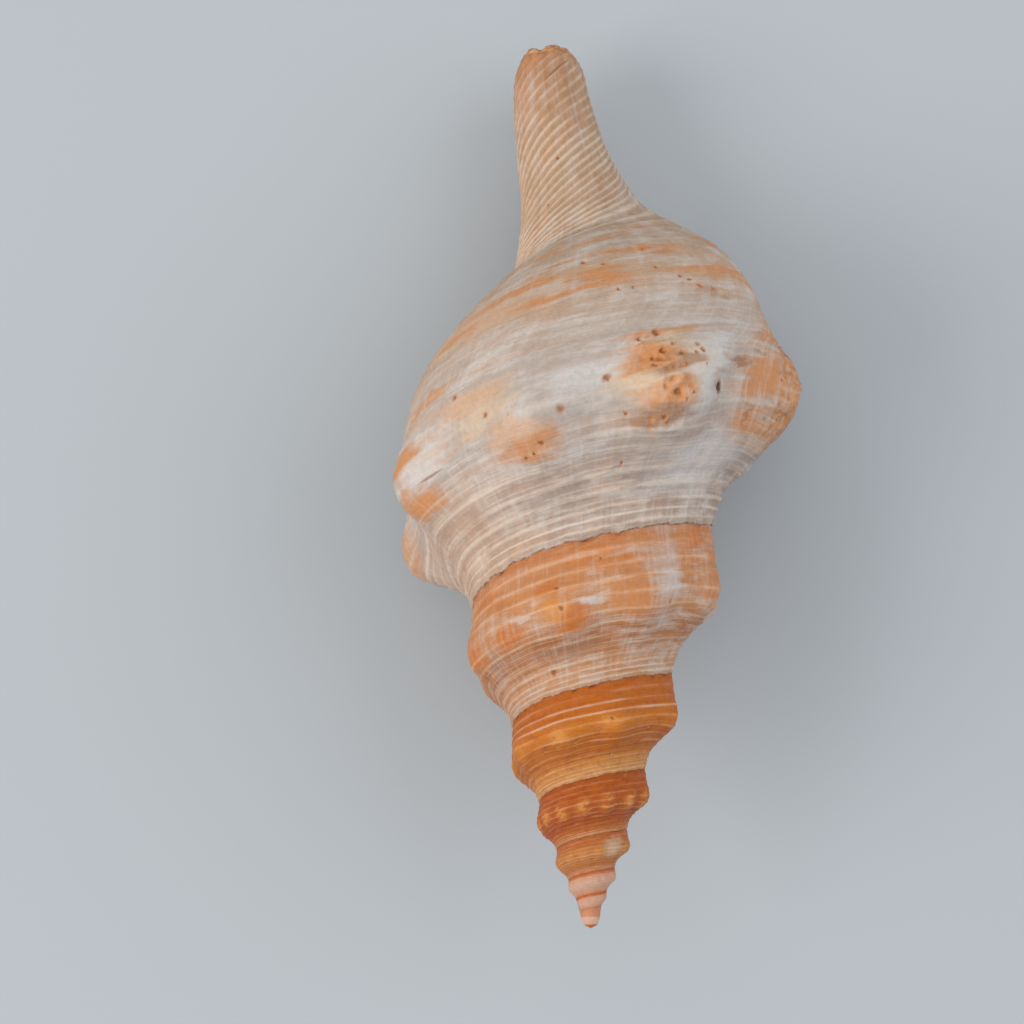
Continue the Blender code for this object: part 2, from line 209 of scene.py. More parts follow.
# Small holes worn or bored into the wall: angle, place, width in millimetres
PITS = (
    (-27, 1.780, 1.1), (-40, 1.700, 0.8), (-14, 1.275, 1.5), (-8, 1.235, 1.2), (5, 1.295, 1.3),
    (7, 1.180, 1.2), (-4, 1.080, 1.1), (0, 1.080, 1.1), (14, 1.125, 1.3), (17, 1.105, 1.2),
    (20, 1.065, 1.4), (25, 1.055, 1.2), (14, 0.780, 2.2), (11, 0.745, 1.3), (21, 0.660, 1.3),
    (25, 0.640, 1.6), (27, 0.600, 1.8), (29, 0.640, 1.2), (19, 0.610, 1.6), (26, 0.520, 2.2),
    (23, 0.450, 1.6), (41, 0.530, 1.9), (7, 0.600, 1.5), (-5, 0.525, 1.3), (13, 0.465, 1.2),
    (13, 0.285, 1.0), (-43, 0.750, 1.4), (-29, 0.600, 1.5), (-20, 0.560, 1.2), (-12, 0.440, 1.6),
    (-15, 0.410, 1.3), (-18, 0.400, 1.2), (66, 0.740, 1.4), (72, 0.690, 1.6), (75, 0.640, 1.4),
    (71, 0.580, 1.3), (77, 0.530, 1.5), (68, 0.600, 1.0), (72, 0.500, 1.2), (69, 0.440, 1.0),
    (78, 0.700, 1.1), (90, 0.660, 1.2), (78, 0.600, 1.0), (86, 0.560, 1.3), (92, 0.500, 1.0),
    (75, 0.460, 1.1), (66, 0.790, 1.0), (60, 0.780, 0.9), (74, 0.560, 0.9), (70, 0.660, 1.0),
    (22, 0.690, 1.1), (18, 0.640, 1.0), (23, 0.470, 1.1), (28, 0.500, 1.1), (24, 0.430, 1.0),
    (31, 0.650, 1.6), (29, 0.675, 1.2), (20, 0.670, 1.3), (33, 0.600, 1.1), (30, 0.520, 1.3),
    (-373, 0.690, 1.3), (-371, 0.560, 1.4), (-320, 0.500, 1.2), (-353, 0.830, 0.9),
    (-382, 0.160, 1.5), (-729, 0.450, 0.9), (-745, 0.530, 0.9), (-704, 0.600, 1.1),
    (-671, 0.470, 0.9), (-743, 0.450, 0.8), (-700, 0.220, 0.8), (-756, 0.430, 0.8),
    (-1040, 0.920, 0.9), (-1042, 0.500, 1.0), (-92, 0.760, 1.4), (-150, 0.620, 1.5),
    (-170, 0.900, 1.2), (-205, 0.500, 1.6), (-240, 0.760, 1.3),
)
PIT_REACH = 1.6
PIT_REFINE_CUTS = 3
PIT_REFINE_REACH, PIT_REFINE_MARGIN = 1.25, 0.0004

# Worn, crumbled places: angle, place, width and depth of the roughness in millimetres
WORN = (
    (19, 0.66, 14.0, 1.0), (24, 0.54, 14.0, 1.0), (23, 0.45, 11.0, 0.9), (-14, 0.43, 9.0, 0.4),
    (76, 0.62, 13.0, 1.1), (76, 0.49, 12.0, 1.0), (73, 0.74, 9.0, 0.9), (20, 1.14, 12.0, 0.3),
    (-371, 0.53, 8.0, 0.4), (-320, 0.54, 7.0, 0.3), (-115, 0.53, 12.0, 0.4), (-158, 0.53, 12.0, 0.6),
)
WORN_REFINE_DEPTH = 0.8
WORN_REFINE_CUTS = 2
WORN_REFINE_REACH = 0.9
# Least cosine between a vertex normal and a spot's outward direction on the wall's outer side
OUTWARD = 0.2

# Ground colour along each whorl: position and colour from 0 to 255. The first runs to place 2.
GROUNDS = (
    ((0.00, (178, 154, 138)), (0.08, (170, 152, 141)), (0.16, (172, 157, 148)), (0.26, (178, 164, 155)),
     (0.36, (184, 169, 159)), (0.48, (188, 168, 152)), (0.56, (196, 160, 130)), (0.66, (190, 160, 134)),
     (0.76, (184, 155, 127)), (0.90, (190, 156, 124)), (1.00, (188, 138, 98))),
    ((0.00, (198, 154, 122)), (0.14, (202, 144, 98)), (0.28, (187, 129, 89)), (0.38, (177, 115, 70)),
     (0.50, (206, 146, 98)), (0.68, (212, 142, 84)), (0.88, (214, 134, 70)), (1.00, (208, 134, 80))),
    ((0.00, (214, 158, 104)), (0.10, (212, 146, 76)), (0.19, (206, 132, 54)), (0.28, (190, 106, 26)),
     (0.45, (186, 102, 14)), (0.56, (208, 122, 26)), (0.70, (200, 108, 12)), (1.00, (194, 102, 16))),
    ((0.00, (206, 146, 96)), (0.12, (190, 102, 24)), (0.30, (174, 80, 2)), (0.60, (184, 88, 2)),
     (0.80, (188, 92, 4)), (1.00, (178, 86, 12))),
    ((0.00, (210, 150, 112)), (0.18, (194, 114, 50)), (0.50, (206, 136, 74)), (0.75, (200, 116, 50)),
     (1.00, (192, 106, 50))),
    ((0.00, (208, 118, 60)), (0.14, (220, 160, 126)), (0.45, (224, 180, 156)), (0.78, (224, 168, 138)),
     (0.88, (204, 110, 52)), (1.00, (200, 104, 48))),
)
GROUND_CHANGES = (-0.62, -1.58, -2.55, -3.52, -4.45)
GROUND_BLUR = 0.14

# Patches of colour: angle, place, half width in degrees, half height in places, colour, strength
PATCHES = (
    (34, 0.62, 7.0, 0.20, "white", 0.7), (45, 0.26, 24.0, 0.16, "white", 0.6),
    (2, 0.60, 14.0, 0.10, "white", 0.5), (-54, 0.53, 8.0, 0.08, "white", 0.6),
    (21, 0.60, 15.0, 0.21, "cream", 0.75), (16, 0.775, 13.0, 0.04, "orange", 0.8),
    (19, 0.72, 9.0, 0.035, "cream", 0.7), (18, 0.66, 10.0, 0.07, "orange", 0.95),
    (19, 0.575, 8.0, 0.035, "cream", 0.9), (26, 0.61, 4.5, 0.05, "brown", 0.55),
    (22, 0.515, 11.0, 0.05, "orange", 0.9), (22, 0.455, 10.0, 0.045, "brown", 0.7),
    (16, 0.62, 3.0, 0.05, "orange", 0.6), (-48, 1.14, 26.0, 0.10, "peach", 0.7),
    (-34, 0.69, 16.0, 0.07, "peach", 0.8), (-28, 0.60, 13.0, 0.07, "cream", 0.75),
    (-14, 0.435, 12.0, 0.07, "orange", 0.85), (-22, 0.50, 12.0, 0.06, "peach", 0.8),
    (-61, 0.61, 7.0, 0.06, "orange", 0.95), (-61, 0.435, 10.0, 0.075, "orange", 0.95),
    (-59, 0.84, 13.0, 0.03, "orange", 0.7), (-56, 1.13, 16.0, 0.035, "orange", 0.7),
    (-112, 0.52, 13.0, 0.11, "orange", 0.7), (-158, 0.55, 14.0, 0.11, "orange", 0.6),
    (-198, 0.55, 15.0, 0.11, "orange", 0.6), (-245, 0.56, 14.0, 0.11, "peach", 0.8),
    (62, 0.60, 10.0, 0.13, "orange", 0.8), (60, 0.43, 9.0, 0.06, "orange", 0.7),
    (46, 0.635, 5.0, 0.018, "brown", 0.7), (55, 0.68, 6.0, 0.025, "brown", 0.5),
    (58, 0.45, 2.0, 0.06, "brown", 0.5), (-16, 1.13, 22.0, 0.03, "orange", 0.85),
    (-35, 1.22, 18.0, 0.035, "orange", 0.6), (6, 1.30, 16.0, 0.022, "orange", 0.8),
    (21, 1.155, 15.0, 0.035, "orange", 0.75), (29, 1.03, 9.0, 0.03, "mauve", 0.5),
    (-10, 2.02, 70.0, 0.05, "orange", 0.85),
    (-76, 1.40, 14.0, 0.07, "peach", 0.8), (-322, 0.66, 8.0, 0.45, "white", 0.28),
    (-321, 0.61, 11.0, 0.10, "white", 0.6), (-356, 0.57, 9.0, 0.035, "white", 0.7),
    (-392, 0.58, 8.0, 0.03, "white", 0.5), (-382, 0.82, 26.0, 0.15, "orange", 0.75),
    (-362, 0.88, 10.0, 0.08, "deep", 0.45), (-330, 0.93, 26.0, 0.07, "orange", 0.7),
    (-366, 0.49, 11.0, 0.09, "deep", 0.85), (-373, 0.58, 9.0, 0.11, "amber", 0.7),
    (-400, 0.50, 10.0, 0.08, "deep", 0.85), (-428, 0.49, 9.0, 0.10, "deep", 0.8),
    (-378, 0.70, 9.0, 0.06, "deep", 0.6), (-337, 0.56, 11.0, 0.12, "orange", 0.95),
    (-370, 0.30, 26.0, 0.06, "mauve", 0.8),
    (-293, 0.60, 10.0, 0.11, "orange", 0.9), (-743, 0.53, 9.0, 0.07, "amber", 0.8),
    (-704, 0.57, 8.0, 0.07, "amber", 0.6), (-1400, 0.60, 22.0, 0.3, "cream", 0.7),
)

# Thin marks over the pits: a slot, scratches, a crack by the canal tip and two dull dots
MARKS = (
    (41.2, 0.528, 1.5, 0.026, "seam", 0.95), (-53, 0.50, 5.0, 0.007, "brown", 0.75),
    (-40, 0.49, 10.0, 0.005, "brown", 0.3), (-12, 1.950, 23.0, 0.004, "brown", 0.85),
    (7, 0.60, 1.8, 0.022, "mauve", 0.6), (-5, 0.527, 1.5, 0.02, "mauve", 0.6),
)

# How far the noise draws patches out, in degrees and hundredths of a place
PATCH_STRAY = (26.0, 16.0)
THREAD_SPACING = 0.034

# Finish: factors that brighten or darken the colour, gloss and the finest relief
BRIGHTER = (1.04, 1.04, 1.04, 1.0)
SPECK_SHADE, SPECK_LIGHT = (0.8, 0.78, 0.76, 1.0), (1.06, 1.06, 1.06, 1.0)
SHELL_SPECULAR = 0.28
BUMP_STRENGTH, BUMP_DISTANCE = 0.5, 0.0006

# Photograph's camera: its place in the shell's frame, and its right, up and forward directions
CAMERA_PLACE = (-0.02064, -0.0671, 0.47647)
CAMERA_RIGHT = (0.99984, -0.0178, 0.0)
CAMERA_FORWARD = (0.00224, 0.12568, -0.99207)
CAMERA_LENS = 70.3

FLOOR_ROUGHNESS = 0.8
# Lights: place and colour; their powers and sizes are the stage's settings
LIGHTS = {
    "window": ((-1.4, -0.35, 0.95), (1.0, 0.97, 0.93)),
    "fill": ((1.4, 0.2, 1.1), (0.95, 0.97, 1.0)),
    "ceiling": ((-0.2, 0.1, 1.6), (1.0, 0.97, 0.93)),
}
SKY_COLOUR = (0.88, 0.94, 1.0, 1.0)

# Where the shell's own origin lands in the frame, in metres
FRAME_SHIFT = np.array((-0.00475252, -0.10189763, 0.05072392))


def smoothstep(low, high, x):
    t = np.clip((np.asarray(x, float) - low) / (high - low), 0.0, 1.0)
    return t * t * (3.0 - 2.0 * t)


def wander(x, seed, octaves=3):
    """Smooth irregular wave of about unit height, the same each run."""
    total = 0.0
    for k in range(octaves):
        pace = 1.0 + 1.73 * k
        total = total + np.sin(x * pace + seed * 2.4 + k) * np.cos(x * pace * 0.61 + seed * 1.1) / (k + 1)
    return total


def curve_through(places, values, x):
    """Cubic curve through the values at the places, read at x."""
    places = np.asarray(places, float)
    values = np.asarray(values, float)
    slopes = np.gradient(values, places)
    i = np.clip(np.searchsorted(places, x, side="right") - 1, 0, len(places) - 2)
    step = places[i + 1] - places[i]
    t = (x - places[i]) / step
    t2, t3 = t * t, t * t * t
    return ((2 * t3 - 3 * t2 + 1) * values[i] + (t3 - 2 * t2 + t) * step * slopes[i]
            + (3 * t2 - 2 * t3) * values[i + 1] + (t3 - t2) * step * slopes[i + 1])


def growth(turn):
    return HEIGHT_PER_TURN ** turn, RADIUS_PER_TURN ** turn


def upper_profile(turn):
    """Places, heights and radii from suture to suture, at this turn's own size."""
    spire, left, lip = (np.array(p) for p in (SPIRE_PROFILE, LEFT_PROFILE, LIP_PROFILE))
    shape = spire + (left - spire) * smoothstep(LIP_ANGLE / 360.0 - 1.0, LEFT_TURN, turn)
    shape = shape + (lip - left) * smoothstep(LEFT_TURN, LIP_TURN, turn)
    tall, wide = growth(turn)
    return shape[:, 0], shape[:, 1] * tall, shape[:, 2] * wide


def base_keys(turn):
    """Heights and radii of the base and canal at this turn."""
    start, left, lip = (np.array([row[k] for row in BASE_PROFILE]) for k in (1, 2, 3))
    if turn < START_TURN:
        share = min((START_TURN - turn) / (LEFT_TURN - START_TURN), 1.0)
        mixed = start + (left * growth(-1.0) - start) * share
        return mixed * growth(min(turn - LEFT_TURN + 1.0, 0.0))
    if turn < LEFT_TURN:
        share = (turn - START_TURN) / (LEFT_TURN - START_TURN)
        mixed = start + (left - start) * share
        rise = float(smoothstep(*CANAL_SCROLL_TURNS, turn))
        scroll = start[:, 1] + (left[:, 1] - start[:, 1]) * rise
        weight = smoothstep(*CANAL_SCROLL_PLACES, [row[0] for row in BASE_PROFILE])
        mixed[:, 1] += (scroll - mixed[:, 1]) * weight
        return mixed
    share = min((turn - LEFT_TURN) / (LIP_TURN - LEFT_TURN), LIP_OVERRUN)
    return left + (lip - left) * share ** LIP_EASE


def whole_profile(turn):
    places, heights, radii = upper_profile(turn)
    base = base_keys(turn)
    return (np.append(places, [row[0] for row in BASE_PROFILE]),
            np.append(heights, base[:, 0]), np.append(radii, base[:, 1]))


def section(turn, places, full):
    """Heights, radii and outward normals of the smooth wall at these places."""
    knots, heights, radii = whole_profile(turn) if full else upper_profile(turn)
    step = 1e-3
    h, h_before, h_after = (curve_through(knots, heights, places + s) for s in (0.0, -step, step))
    r, r_before, r_after = (curve_through(knots, radii, places + s) for s in (0.0, -step, step))
    size = np.hypot(h_after - h_before, r_after - r_before)
    return h, r, (r_before - r_after) / size, (h_after - h_before) / size


def all_knobs():
    """Angle, height and width of every knob, from the lip back to the apex."""
    knobs = [knob + (KNOB_ANGLE_WIDTH,) for knob in LAST_KNOBS]
    knobs += [(angle, KNOB_HEIGHT, KNOB_ANGLE_WIDTH) for angle in OLDER_KNOBS]
    while knobs[-1][0] > -360.0 * SPIRE_TURNS:
        knobs.append((knobs[-1][0] - CROWDED_SPACING, KNOB_HEIGHT, CROWDED_WIDTH))
    return np.array(knobs, float)


KNOBS = all_knobs()


def knob_lift(turn, places):
    """How far the knobs push the wall out, in the size of this turn, and how much is knob there."""
    angles, heights, widths = KNOBS.T
    bells = np.exp(-((turn * 360.0 - angles) / widths) ** 2)
    along = np.exp(-((places - KNOB_ROW) / KNOB_ROW_WIDTH) ** 2)
    along = along * smoothstep(0.0, SUTURE_MARGIN, places) * smoothstep(1.0, 1.0 - SUTURE_MARGIN, places)
    grown = 0.2 + 0.8 * float(smoothstep(*CROWDED_FADE, turn))
    lift = ((heights * bells).sum() - KNOB_DIP) * along * growth(turn)[1] * grown
    return lift, np.clip(bells.sum() * along, 0.0, 1.0)


def lip_reach(turn, places):
    """Degrees by which the wall near the lip is drawn round past its column."""
    knots, reach = zip(*LIP_REACH)
    share = smoothstep(LIP_REACH_START, LIP_ANGLE / 360.0, turn)
    return np.interp(places, knots, reach) * share


def to_space(angle, height, radius):
    """Shell coordinates to x, y, z with the axis along y, in millimetres."""
    phi = np.radians(angle)
    bend = CANAL_BEND * smoothstep(CANAL_BEND_START, SHELL_LENGTH, height) ** CANAL_BEND_EASE
    return np.stack([radius * np.sin(phi) - bend, height, radius * np.cos(phi)], axis=-1)


def column_turn(i, last):
    return LIP_ANGLE / 360.0 - (last - i) / COLUMNS


def cord_list():
    canal = CANAL_CORD_START + CANAL_CORD_STEP * np.arange(CANAL_CORD_COUNT)
    return np.concatenate([SPIRE_CORDS, BODY_CORDS, canal])


def cord_rows():
    """Rows of the wall: the crest, the feet and the trough of each cord, then even ones on the canal."""
    cords = cord_list()
    rows = set(CREASE_ROWS) | set(SEAM_ROWS)
    for crest, after in zip(cords, cords[1:]):
        for share in CORD_ROW_SHARES:
            rows.add(round(crest + share * (after - crest), 5))
    kept = [p for p in sorted(rows)
            if p < COARSE_ROW_PLACE and (p in SEAM_ROWS or not SEAM_ROWS[0] < p < SEAM_ROWS[-1])]
    count = round((PROFILE_END - COARSE_ROW_PLACE) / CANAL_ROW_STEP)
    return np.append(kept, np.linspace(COARSE_ROW_PLACE, PROFILE_END, count + 1))


def cord_places(turn, places):
    """Where these places lie among the cords, which slant across the back of the canal."""
    drift = CORD_DRIFT * float(np.clip(turn, *CORD_DRIFT_TURNS))
    return places - drift * smoothstep(*CORD_DRIFT_RISE, places)


def cord_relief(turn, places, sizes):
    """Height of the cords in millimetres, and how much of a crest each place is."""
    cords = cord_list()
    widths = np.where(cords < COARSE_ROW_PLACE, *CORD_WIDTHS) * np.gradient(cords)
    among = cord_places(turn, places)
    crest = np.exp(-((among[:, None] - cords) / widths) ** 2).max(axis=1)
    body = np.interp(places, *zip(*CORD_STRENGTH))
    older = np.interp(places, *zip(*OLDER_CORD_STRENGTH))
    strength = body + (older - body) * float(smoothstep(*OLDER_CORD_TURNS, turn))
    strength = strength * (1.0 + 0.35 * wander(turn * 14.0 + among * 23.0, 5))
    size = min(growth(turn)[1], 1.0) ** 0.8
    return sizes.cord_height / MM * strength * crest * size, crest * np.clip(1.4 * strength, 0.0, 1.2)


def growth_lines(turn, places, sizes):
    """Fine ridges along the lip's former edges, stronger towards the lip."""
    angle = turn * 360.0 + 2.5 * np.sin(places * 7.0)
    lines = np.clip(wander(angle * 0.55, 2) + wander(angle * 1.25, 7) * 0.6, -0.4, 1.6)
    near_lip = float(smoothstep(*LINES_NEAR_LIP, turn))
    size = min(growth(turn)[1], 1.0)
    return sizes.growth_line_depth / MM * lines * (0.35 + 0.65 * near_lip) * size


def suture_jag(turn):
    """How far the edge of a whorl strays along the axis where it meets the one before."""
    return 0.42 * wander(turn * 95.0, 3, 4) * min(growth(turn)[1], 1.0)


def skin_column(turn, places, full, sizes):
    """Points of the outer wall at one turn, and its knob and cord masks."""
    height, radius, up, out = section(turn, places, full)
    grown = float(smoothstep(-SPIRE_TURNS, FIRST_FULL_TURN, turn))
    if grown < 1.0:
        ends = section(turn, np.array([0.0, 1.0]), False)[1]
        cone = ends[0] + (ends[1] - ends[0]) * places
        radius = cone + (radius - cone) * grown
    knob, knob_mask = knob_lift(turn, places)
    cords, crest = cord_relief(turn, places, sizes)
    size = min(growth(turn)[1], 1.0)
    fade = smoothstep(*FADE_AFTER_SUTURE, places)
    if not full:
        fade = fade * smoothstep(*FADE_BEFORE_SUTURE, places)
    ledge = sizes.suture_step / MM * size * smoothstep(*LEDGE_RISE, places) * np.exp(-places / LEDGE_WIDTH)
    tall, angle, wide, place, across = RAMP_FLARE
    flare = tall * math.exp(-((turn * 360.0 - angle) / wide) ** 2) * np.exp(-((places - place) / across) ** 2)
    lift = knob * grown + (cords + growth_lines(turn, places, sizes)) * fade + ledge + flare
    height = height + suture_jag(turn) * np.exp(-places / JAG_WIDTH)
    reach = turn * 360.0 + lip_reach(turn, places)
    height = height - tip_chip(reach) * smoothstep(*TIP_CHIP_PLACES, places)
    angle = reach + lip_teeth(turn, places)
    return to_space(angle, height + up * lift, radius + out * lift), knob_mask * grown, crest * fade


def tip_chip(angle):
    """How much of the canal tip is broken away at this angle."""
    deep, middle, wide = TIP_NOTCH
    notch = deep * np.exp(-((angle - middle) / wide) ** 2)
    sides = TIP_SIDES * smoothstep(*TIP_SIDE_ANGLES, np.abs((angle + 180.0) % 360.0 - 180.0))
    return notch + sides + TIP_RAGGED * (1.0 + wander(angle * 0.14, 4, 2))


def lip_teeth(turn, places):
    """Scalloped and chipped edge of the outer lip, in degrees."""
    share = float(smoothstep(TEETH_START, LIP_ANGLE / 360.0, turn))
    share = share * smoothstep(*TEETH_PLACES[0], places) * smoothstep(*TEETH_PLACES[1], places)
    return share * (0.8 * wander(places * 95.0, 1) + 0.9 * wander(places * 31.0, 6))


class Net:
    """Vertices, faces and corner values gathered while the shell is laid out."""

    def __init__(self):
        self.points, self.faces, self.corners = [], [], []
        self.knob, self.cord, self.inside, self.edge = [], [], [], []

    def add(self, points, knob=0.0, cord=0.0, inside=0.0, edge=0.0):
        points = np.atleast_2d(points)
        first, count = len(self.points), len(points)
        self.points.extend(points.tolist())
        for store, value in ((self.knob, knob), (self.cord, cord), (self.inside, inside), (self.edge, edge)):
            store.extend(np.broadcast_to(value, count).tolist())
        return list(range(first, first + count))

    def face(self, corners):
        """corners: vertex, turn and row for each, in order round the face."""
        self.faces.append([c[0] for c in corners])
        self.corners.append([(c[1], c[2]) for c in corners])

    def plain(self, vertices, turn, row):
        self.face([(v, turn, row) for v in vertices])

    def bridge(self, coarse, fine, turn, row):
        """Faces between two chains, the second one with a whole number of times the steps."""
        ratio = (len(fine) - 1) // (len(coarse) - 1)
        for k in range(len(coarse) - 1):
            chain = fine[k * ratio:(k + 1) * ratio + 1]
            self.plain([coarse[k], coarse[k + 1]] + chain[::-1], turn, row)

    def fan(self, centre, loop, turn, row):
        for a, b in zip(loop, loop[1:]):
            self.plain([centre, a, b], turn, row)


class Layout:
    """Rows, columns and steps of the fine mesh."""

    def __init__(self):
        self.rows = cord_rows()
        self.suture = int(np.where(self.rows == 1.0)[0][0])
        self.last = COARSEST * round((LIP_ANGLE / 360.0 + SPIRE_TURNS) * COLUMNS / COARSEST)
        self.first_base = self.last - COLUMNS
        self.end = len(self.rows) - 1
        self.coarse_row = int(np.searchsorted(self.rows, COARSE_ROW_PLACE))
        self.tube_row = self.row_near(TUBE_START)
        self.inner_row = self.row_near(INNER_START)
        self.turns = [column_turn(i, self.last) for i in range(self.last + 1)]
        self.among = [cord_places(turn, self.rows) for turn in self.turns]

    def row_near(self, place):
        """The first row past this place from which pairs of rows reach the last one."""
        k = int(np.searchsorted(self.rows, place))
        return k + (self.end - k) % 2

    def step(self, i, row):
        back = (self.last - i) / COLUMNS
        step = 1 if back <= FINE_TURNS else 2 if back <= MIDDLE_TURNS else COARSEST
        return max(step, 2) if row >= self.coarse_row else step


def lay_skin(net, lay, sizes):
    """The outer wall: for each column, its vertices by row."""
    grid = {}
    for i in range(lay.last + 1):
        finest = lay.step(i, 0)
        if i % finest:
            continue
        turn = column_turn(i, lay.last)
        full = i >= lay.first_base
        rows = lay.rows if full else lay.rows[:lay.suture]
        points, knob, cord = skin_column(turn, rows, full, sizes)
        keep = [r for r in range(len(rows)) if i % lay.step(i, r) == 0]
        if i == lay.first_base:
            keep.remove(lay.suture)
        edge = smoothstep(*TIP_WORN_PLACES, rows) if full else 0.0 * rows
        made = net.add(points[keep], knob[keep], cord[keep], 0.0, edge[keep])
        grid[i] = dict(zip(keep, made))
    for i in sorted(grid):
        if i <= lay.first_base:
            grid[i][lay.suture] = grid[i + COLUMNS][0]
    return grid


def skin_faces(net, lay, grid):
    for i in range(lay.last):
        rows = lay.end if i >= lay.first_base else lay.suture
        for r in range(rows):
            low = lay.step(i, r)
            on_suture = r + 1 == lay.suture and i < lay.first_base
            high = lay.step(i + COLUMNS, 0) if on_suture else lay.step(i, r + 1)
            span = max(low, high)
            if i % span:
                continue
            corners = [(grid[j][r], lay.turns[j], lay.among[j][r]) for j in range(i, i + span + 1, low)]
            for j in range(i + span, i - 1, -high):
                vertex = grid[j + COLUMNS][0] if on_suture else grid[j][r + 1]
                corners.append((vertex, lay.turns[j], lay.among[j][r + 1]))
            net.face(corners)


def wall_thickness(turn, places):
    back = LIP_ANGLE / 360.0 - turn
    wall = LIP_WALL + (WALL - LIP_WALL) * (1.0 - math.exp(-back / LIP_TAPER_TURNS))
    wall = wall * (1.0 - OLDER_THINNING * (1.0 - growth(turn)[1]))
    wall = wall * (1.0 - CANAL_THINNING * smoothstep(*CANAL_THIN_PLACES, places))
    return wall * (1.0 - TIP_THINNING * smoothstep(*TIP_THIN_PLACES, places))


def pillar_folds(places, share):
    """The slanting folds low on the pillar."""
    folds = sum(np.exp(-((places - p) / FOLD_WIDTH) ** 2) for p in FOLD_PLACES)
    return FOLD_HEIGHT * folds * share


def lay_tube(net, lay, grid):
    """The hollow of the last whorl: rows of its outer and inner wall for each station."""
    places_out = lay.rows[lay.tube_row::2]
    places_in = lay.rows[lay.inner_row::2]
    outer, inner = {}, {}
    for i in range(lay.last - TUBE_COLUMNS, lay.last + 1, COARSEST):
        turn = column_turn(i, lay.last)
        back = (lay.last - i) / COLUMNS
        retreat = float(smoothstep(CHANNEL_TURNS, CANAL_RETREAT_TURNS, back))
        reach = (PROFILE_END - CANAL_RETREAT * retreat - TUBE_START) / (PROFILE_END - TUBE_START)
        places = TUBE_START + (places_out - TUBE_START) * reach
        height, radius, up, out = section(turn, places, True)
        wall = wall_thickness(turn, places)
        height = height - up * wall * (places < LEVEL_RIM_PLACE)
        reached = turn * 360.0 + lip_reach(turn, places)
        height = height - tip_chip(reached) * smoothstep(*TIP_CHIP_PLACES, places)
        angle = reached + lip_teeth(turn, places_out)
        inside = min(1.0, HOLLOW_START[0] + back * HOLLOW_RISE)
        outer[i] = net.add(to_space(angle, height, radius - out * wall), inside=inside)
        if i == lay.last:
            inner[i] = [grid[lay.first_base][r] for r in range(lay.inner_row, lay.end + 1)]
            continue
        height, radius, up, out = section(turn - 1.0, places_in, True)
        floor = section(turn, places[-1:], True)[0][0]
        share = np.clip((places_in - CANAL_PLACE) / (PROFILE_END - CANAL_PLACE), 0.0, 1.0)
        bend = np.interp(CANAL_PLACE, places_in, height)
        height = np.where(share > 0.0, bend + (floor - bend) * share, height)
        closing = float(smoothstep(LIP_ANGLE / 360.0 - CHANNEL_TURNS, LIP_ANGLE / 360.0, turn))
        radius = radius + pillar_folds(places_in, float(smoothstep(*FOLD_TURNS, back)))
        angle = turn * 360.0 + lip_reach(turn, places_in) * (1.0 - closing)
        points = to_space(angle, height, np.maximum(radius, PILLAR_RADIUS))
        inner[i] = net.add(points, inside=min(1.0, HOLLOW_START[1] + back * HOLLOW_RISE))
    return outer, inner


def tube_faces(net, lay, outer, inner):
    stations = sorted(outer)
    for i, j in zip(stations, stations[1:]):
        turn = column_turn(i, lay.last)
        net.bridge(outer[i], outer[j], turn, 1.0)
        net.bridge(inner[i], inner[j], turn, 1.0)
        net.plain([outer[i][0], outer[j][0], inner[j][0], inner[i][0]], turn, 1.0)
        if (lay.last - j) / COLUMNS >= CHANNEL_TURNS - 1e-6:
            net.plain([inner[i][-1], inner[j][-1], outer[j][-1], outer[i][-1]], turn, 1.9)
    deep_outer, deep_inner = outer[stations[0]], inner[stations[0]]
    middle = np.mean([net.points[k] for k in deep_outer + deep_inner], axis=0)
    centre = net.add(middle, inside=1.0)[0]
    net.fan(centre, deep_inner + deep_outer[::-1] + [deep_inner[0]], column_turn(stations[0], lay.last), 1.0)


def lip_faces(net, lay, grid, outer, inner):
    """The lip's rounded rim between the outer wall and the hollow."""
    turn = LIP_ANGLE / 360.0
    lip = [grid[lay.last][r] for r in range(lay.end + 1)]
    edge = np.array([net.points[k] for k in lip[lay.tube_row:]])
    hollow = np.array([net.points[k] for k in outer[lay.last]])
    index = np.arange(len(edge)) / 2.0
    across = np.stack([np.interp(index, np.arange(len(hollow)), hollow[:, k]) for k in range(3)], axis=1)
    middle = (edge + across) / 2.0
    ahead = np.cross(np.array([0.0, 1.0, 0.0]), middle)
    ahead = ahead / np.linalg.norm(ahead, axis=1)[:, None]
    wall = np.linalg.norm(edge - across, axis=1)[:, None]
    rim = net.add(middle + ahead * wall * RIM_BULGE, edge=1.0)
    rows = lay.rows[lay.tube_row:]
    for k in range(len(rim) - 1):
        a, b = lip[lay.tube_row + k], lip[lay.tube_row + k + 1]
        net.face([(a, turn, rows[k]), (rim[k], turn, rows[k]),
                  (rim[k + 1], turn, rows[k + 1]), (b, turn, rows[k + 1])])
    net.bridge(outer[lay.last], rim, turn, 1.0)
    under = [grid[lay.first_base][r] for r in range(lay.inner_row - 1, lay.suture, -1)]
    net.fan(inner[lay.last][0], under + lip[:lay.tube_row + 1] + [rim[0], outer[lay.last][0]], turn, 0.15)
    net.plain([lip[-1], rim[-1], outer[lay.last][-1]], turn, 2.0)


